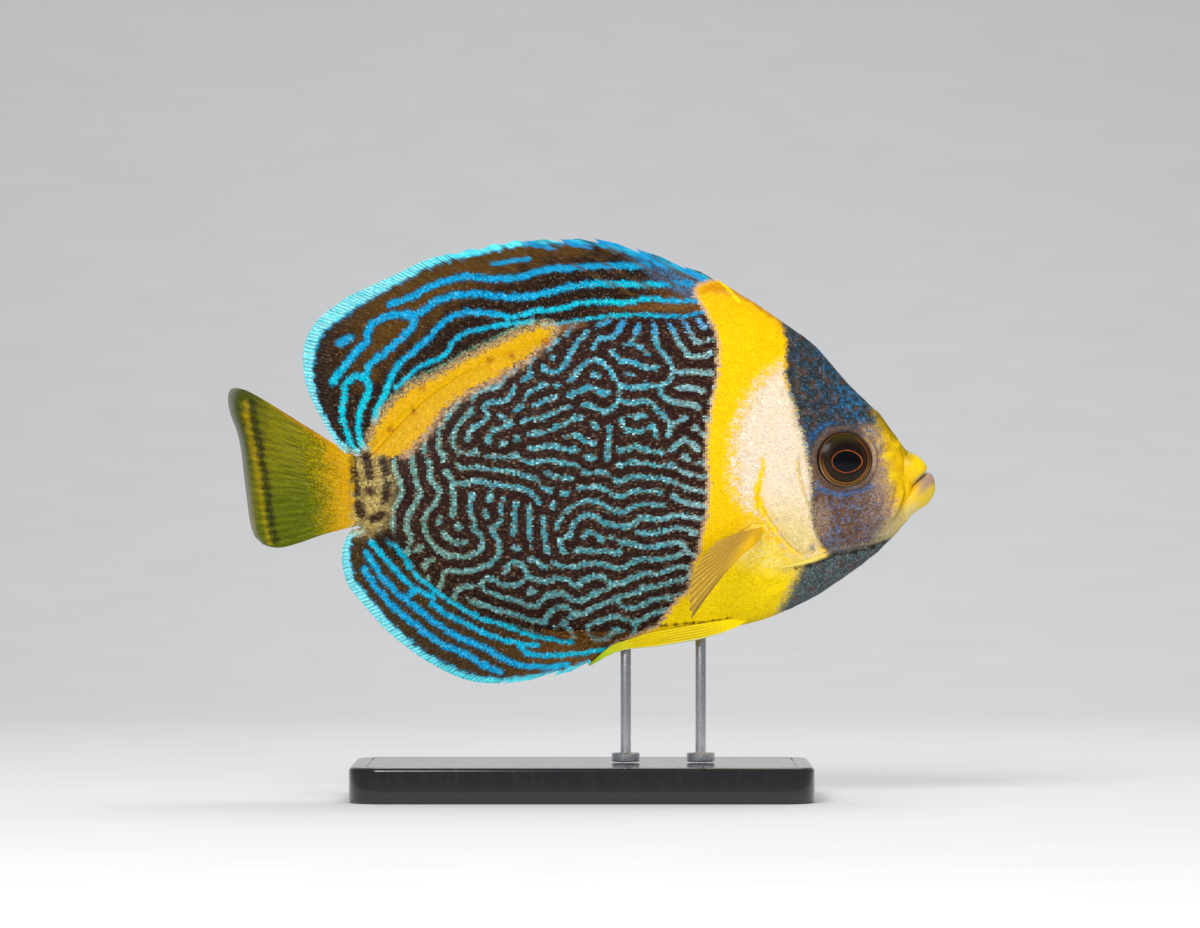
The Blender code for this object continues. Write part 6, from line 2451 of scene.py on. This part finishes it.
@dataclass
class Stand:
    """The display stand: a lacquered base, two steel rods and their collars with grub screws."""

    shape: BodyShape
    size: tuple[float, float, float] = (0.130, 0.076, 0.010)
    corner: float = 0.010
    corner_steps: int = 12
    edge: float = 0.0012
    edge_steps: int = 6
    groove_inset: float = 0.005
    groove: float = 0.0006
    rod: float = 0.0015
    collar: float = 0.004
    collar_height: float = 0.0025
    gap: float = 0.0003
    ease: float = 0.0003
    screw: float = 0.0007
    socket: float = 0.00038
    closing: float = 0.00001  # the radius of a ring that closes a turned end
    follows_from: float = 0.03  # a rod's rings above this height follow the belly
    around: int = 48
    screw_around: int = 24
    rods: dict[str, float] = field(default_factory=lambda: {"rear": 62, "front": 168})

    def ring(self, inset: float, height: float) -> Array:
        """The base's outline, drawn in by an inset, at a height.

        Args:
            inset: how far it is drawn in.
            height: how high it lies.

        Returns:
            A row for each corner.
        """
        radius = max(self.corner - inset, 0.0008)
        places = []
        for quarter in range(4):
            sx, sy = (1, -1, -1, 1)[quarter], (1, 1, -1, -1)[quarter]
            for k in range(self.corner_steps + 1):
                angle = math.pi / 2 * (quarter + k / self.corner_steps)
                x = sx * (self.size[0] / 2 - inset - radius) + radius * math.cos(angle)
                y = sy * (self.size[1] / 2 - inset - radius) + radius * math.sin(angle)
                places.append((x, y, height))
        return np.array(places)

    def build_base(self, material: bpy.types.Material) -> None:
        """Builds the base with its eased edges and one fine groove round its top.

        Args:
            material: its finish.
        """
        tall = self.size[2]
        profile = [(0.0004, 0.0), (0.0, 0.0004), (0.0, tall - self.edge)]
        for k in range(1, self.edge_steps + 1):
            turn = math.pi / 2 * k / self.edge_steps
            profile.append((self.edge * (1 - math.cos(turn)), tall - self.edge * (1 - math.sin(turn))))
        inset, half = self.groove_inset, self.groove / 2
        profile += [
            (inset - half, tall), (inset - half * 0.6, tall - half), (inset + half * 0.6, tall - half),
            (inset + half, tall), (inset + 0.02, tall),
        ]
        rings = np.array([self.ring(*step) for step in profile])
        count = rings.shape[1]
        places = rings.reshape(-1, 3)
        faces = grid_faces(len(profile), count, closed=True)
        triangles = np.concatenate([faces[:, :3], faces[:, [0, 2, 3]]])
        near = np.arange(count)
        low = np.stack([(near + 1) % count, near, np.full(count, len(places))], 1)
        last = (len(profile) - 1) * count
        high = np.stack([last + near, last + (near + 1) % count, np.full(count, len(places) + 1)], 1)
        hubs = np.array([[0, 0, 0], [0, 0, tall]])
        piece = new_mesh("base", np.concatenate([places, hubs]), np.concatenate([triangles, low, high]))
        piece.data.set_sharp_from_angle(angle=math.radians(35))
        turn_out(piece)
        fitted(piece, "stand_lacquer", material, "stand_base")

    def turned(self, name: str, x: float, profile: list[tuple[float, float]], top: bool) -> bpy.types.Object:
        """A turned piece on an upright axis.

        Args:
            name: its name.
            x: where its axis stands.
            profile: radius and height, from the axis below to the axis above.
            top: whether its upper end follows the belly.

        Returns:
            The piece.
        """
        turn = circle(self.around)
        rings = []
        for radius, height in profile:
            level = np.full(turn.shape, height)
            ring = np.stack([x + radius * np.cos(turn), radius * np.sin(turn), level], 1)
            if top and height > self.follows_from:
                slope = self.shape.belly(ring[:, 0] / POINT) - self.shape.belly(np.array(x / POINT))
                ring[:, 2] += slope * POINT
            rings.append(ring)
        piece = new_mesh(name, np.concatenate(rings), grid_faces(len(profile), self.around, closed=True))
        piece.data.set_sharp_from_angle(angle=math.radians(35))
        turn_out(piece)
        return piece

    def build(self, lacquer: bpy.types.Material, steel: bpy.types.Material) -> None:
        """Builds the whole stand.

        Args:
            lacquer: the base's finish.
            steel: the rods' and the collars' finish.
        """
        self.build_base(lacquer)
        floor = self.size[2] + self.gap
        for word, place in self.rods.items():
            x, r, ease, hub = place * POINT, self.collar, self.ease, self.closing
            top = floor + self.collar_height
            collar = self.turned(f"collar_{word}", x, [
                (hub, floor), (r - ease, floor), (r, floor + ease), (r, top - ease), (r - ease, top),
                (self.rod + 0.0005, top), (self.rod + 0.0002, top - 0.0004), (hub, top - 0.0004),
            ], False)
            fitted(collar, "stand_steel", steel, f"stand_collar_{word}")
            foot = top + self.gap
            end = FISH_HEIGHT + float(self.shape.belly(np.array(float(place)))) * POINT - self.gap
            rod = self.turned(f"rod_{word}", x, [
                (hub, foot - 0.0006), (self.rod, foot - 0.0006), (self.rod, end - 0.0008),
                (self.rod - ease, end), (hub, end),
            ], True)
            fitted(rod, "stand_steel", steel, f"stand_rod_{word}")
            self.build_screw(word, x, floor + self.collar_height / 2, steel)

    def build_screw(self, word: str, x: float, height: float, steel: bpy.types.Material) -> None:
        """Builds a collar's grub screw, with its six-sided socket.

        Args:
            word: which collar's.
            x: where the collar stands.
            height: the screw's axis.
            steel: its finish.
        """
        turn = circle(self.screw_around)
        one = np.ones(turn.shape)
        six = np.cos(np.pi / 6) / np.cos((turn % (np.pi / 3)) - np.pi / 6)
        rings = (
            (self.screw * one, -0.0005), (self.screw * one, 0.00008), (0.00062 * one, 0.00016),
            (self.socket * six, 0.00016), (self.socket * six, -0.0004), (self.closing * one, -0.0004),
        )
        places = np.concatenate([
            np.stack([x + r * np.cos(turn), -(self.collar + d) * one, height + r * np.sin(turn)], 1)
            for r, d in rings
        ])
        piece = new_mesh(f"grub_screw_{word}", places, grid_faces(len(rings), len(turn), closed=True))
        piece.data.set_sharp_from_angle(angle=math.radians(35))
        fitted(piece, "stand_steel", steel)


@dataclass
class Studio:
    """The pale floor and backdrop, the soft lights and the camera."""

    camera_place: tuple[float, float, float] = (0.0051, -1.9, 0.0945)
    lens: float = 201.3
    reach: float = 4.5  # how far the floor runs to the front and to both sides
    bend_start: float = 0.6  # how far behind the fish the floor starts to rise
    bend: float = 0.7
    bend_steps: int = 16
    backdrop_height: float = 2.4

    def build(self) -> None:
        """Builds the studio."""
        self.build_backdrop()
        self.build_camera()
        self.light("key", (-0.35, -0.85, 0.80), 0.5, 8.2)
        self.light("fill", (0.50, -0.92, 0.06), 0.8, 8.6).visible_glossy = False
        self.light("top", (0.0, 0.05, 1.1), 0.9, 4.2).visible_glossy = False
        self.light("rim", (0.2, 0.5, 0.9), 0.5, 3.2)
        world = bpy.data.worlds.new("studio")
        world.use_nodes = True
        world.node_tree.nodes["Background"].inputs["Color"].default_value = (0.86, 0.90, 0.96, 1)
        world.node_tree.nodes["Background"].inputs["Strength"].default_value = 0.25
        bpy.context.scene.world = world
        bpy.context.scene.view_settings.view_transform = "Standard"

    def build_backdrop(self) -> None:
        """One sheet that runs from the floor up into the backdrop, clear when seen from behind."""
        start, bend = self.bend_start, self.bend
        profile = [(-self.reach, 0.0), (start, 0.0)]
        for k in range(1, self.bend_steps + 1):
            turn = math.pi / 2 * k / self.bend_steps
            profile.append((start + bend * math.sin(turn), bend * (1 - math.cos(turn))))
        profile.append((start + bend, self.backdrop_height))
        across = np.linspace(-self.reach, self.reach, 9)
        places = np.array([(x, y, z) for y, z in profile for x in across])
        sheet_piece = new_mesh("backdrop", places, grid_faces(len(profile), len(across)))
        material, wires, shader = new_material("pale_paper")
        noise = wires.add("TexNoise", {"Scale": 260.0, "Detail": 4.0})
        tone = wires.add("MapRange", {"To Min": 0.70, "To Max": 0.76, "Value": noise.outputs["Fac"]})
        behind = wires.add("NewGeometry").outputs["Backfacing"]
        front = wires.add("Math", {0: 1.0, 1: behind}, operation="SUBTRACT")
        looks = {"Base Color": tone.outputs["Result"], "Roughness": 0.9, "Alpha": front.outputs["Value"]}
        wires.feed(shader, looks)
        if sheet_piece.data.polygons[0].normal.z < 0:
            sheet_piece.data.flip_normals()
        sheet_piece.data.materials.append(material)

    def build_camera(self) -> None:
        """The camera, level with the fish and square to its side."""
        data = bpy.data.cameras.new("camera")
        data.lens = self.lens
        data.clip_start = 0.01
        camera = bpy.data.objects.new("camera", data)
        camera.location = self.camera_place
        camera.rotation_euler = (math.pi / 2, 0, 0)
        bpy.context.scene.collection.objects.link(camera)
        bpy.context.scene.camera = camera

    def light(
        self, name: str, place: tuple[float, float, float], size: float, power: float
    ) -> bpy.types.Object:
        """A soft light that faces the fish.

        Args:
            name: its name.
            place: where it hangs.
            size: its side.
            power: in watts.

        Returns:
            The light.
        """
        data = bpy.data.lights.new(name, "AREA")
        data.size = size
        data.energy = power
        lamp = bpy.data.objects.new(name, data)
        lamp.location = place
        lamp.rotation_euler = (Vector((0, 0, 0.08)) - Vector(place)).to_track_quat("-Z", "Y").to_euler()
        bpy.context.scene.collection.objects.link(lamp)
        return lamp


def main() -> None:
    """Builds the fish, its stand and the studio."""
    logging.basicConfig(level=logging.INFO, format="%(message)s")
    Studio().build()
    groups = NodeGroups()
    canvas = Canvas()
    HeadRelief(canvas)
    shape = BodyShape(relief=canvas)
    markings = Markings(canvas, shape)
    skin = SkinFinish("fish_skin").made(groups)
    matt = {"roughness": 0.5, "bump": 0.0, "grain_scale": 2600, "coat": 0.02}
    scales = SkinFinish("fish_scales", specular=0.10, **matt).made(groups)
    fin_scales = SkinFinish("fin_scales", specular=0.04, **matt).made(groups)
    Skin(shape, markings).build(skin)
    coat = ScaleCoat(shape, markings)
    for seed, side in enumerate(Side):
        coat.build(side, scales, 40 + seed)
    thin = {"roughness": 0.45, "grain": 0.5, "specular": 0.05, "coat": 0.02}
    web = SkinFinish("fin_web", grain_scale=2400, bump=0.00004, **thin)
    fins = MedianFins(shape, markings, coat, fin_scales)
    fins.build_both(web.made(groups), SkinFinish("anal_web", **thin).made(groups))
    clear = SkinFinish("clear_web", 0.5, 0.02, grain_scale=1500, bump=0.00002, clear=True, specular=0.06)
    TailFin(shape, markings, coat, fin_scales).build(clear.made(groups))
    paired = PairedFins(shape)
    pectoral = SkinFinish("pectoral_web", roughness=0.3, clear=True, bump=0.0).made(groups)
    pelvic = SkinFinish("pelvic_web", roughness=0.35, bump=0.00003).made(groups)
    covers = GillCovers(shape, markings)
    eyes = Eyes(shape)
    wet = {"roughness": 0.3, "coat": 0.12, "coat_roughness": 0.03, "specular": 0.1}
    eye = SkinFinish("eye_gloss", grain=0.12, bump=0.0, **wet).made(groups)
    for side in Side:
        paired.build_pectoral(side, pectoral)
        paired.build_pelvic(side, pelvic)
        covers.build(side, skin, skin)
        eyes.build(side, eye)
    Jaws(shape, markings).build(SkinFinish("lips", roughness=0.36, coat=0.15, bump_scale=3200).made(groups))
    lacquer = StandFinish("black_lacquer", (0.010, 0.010, 0.011), 0.16, coat=0.5, amount=0.2).made(groups)
    steel = StandFinish("brushed_steel", (0.72, 0.72, 0.74), 0.26, metallic=1.0, scale=300, amount=0.10)
    Stand(shape).build(lacquer, steel.made(groups))


if __name__ == "__main__":
    main()
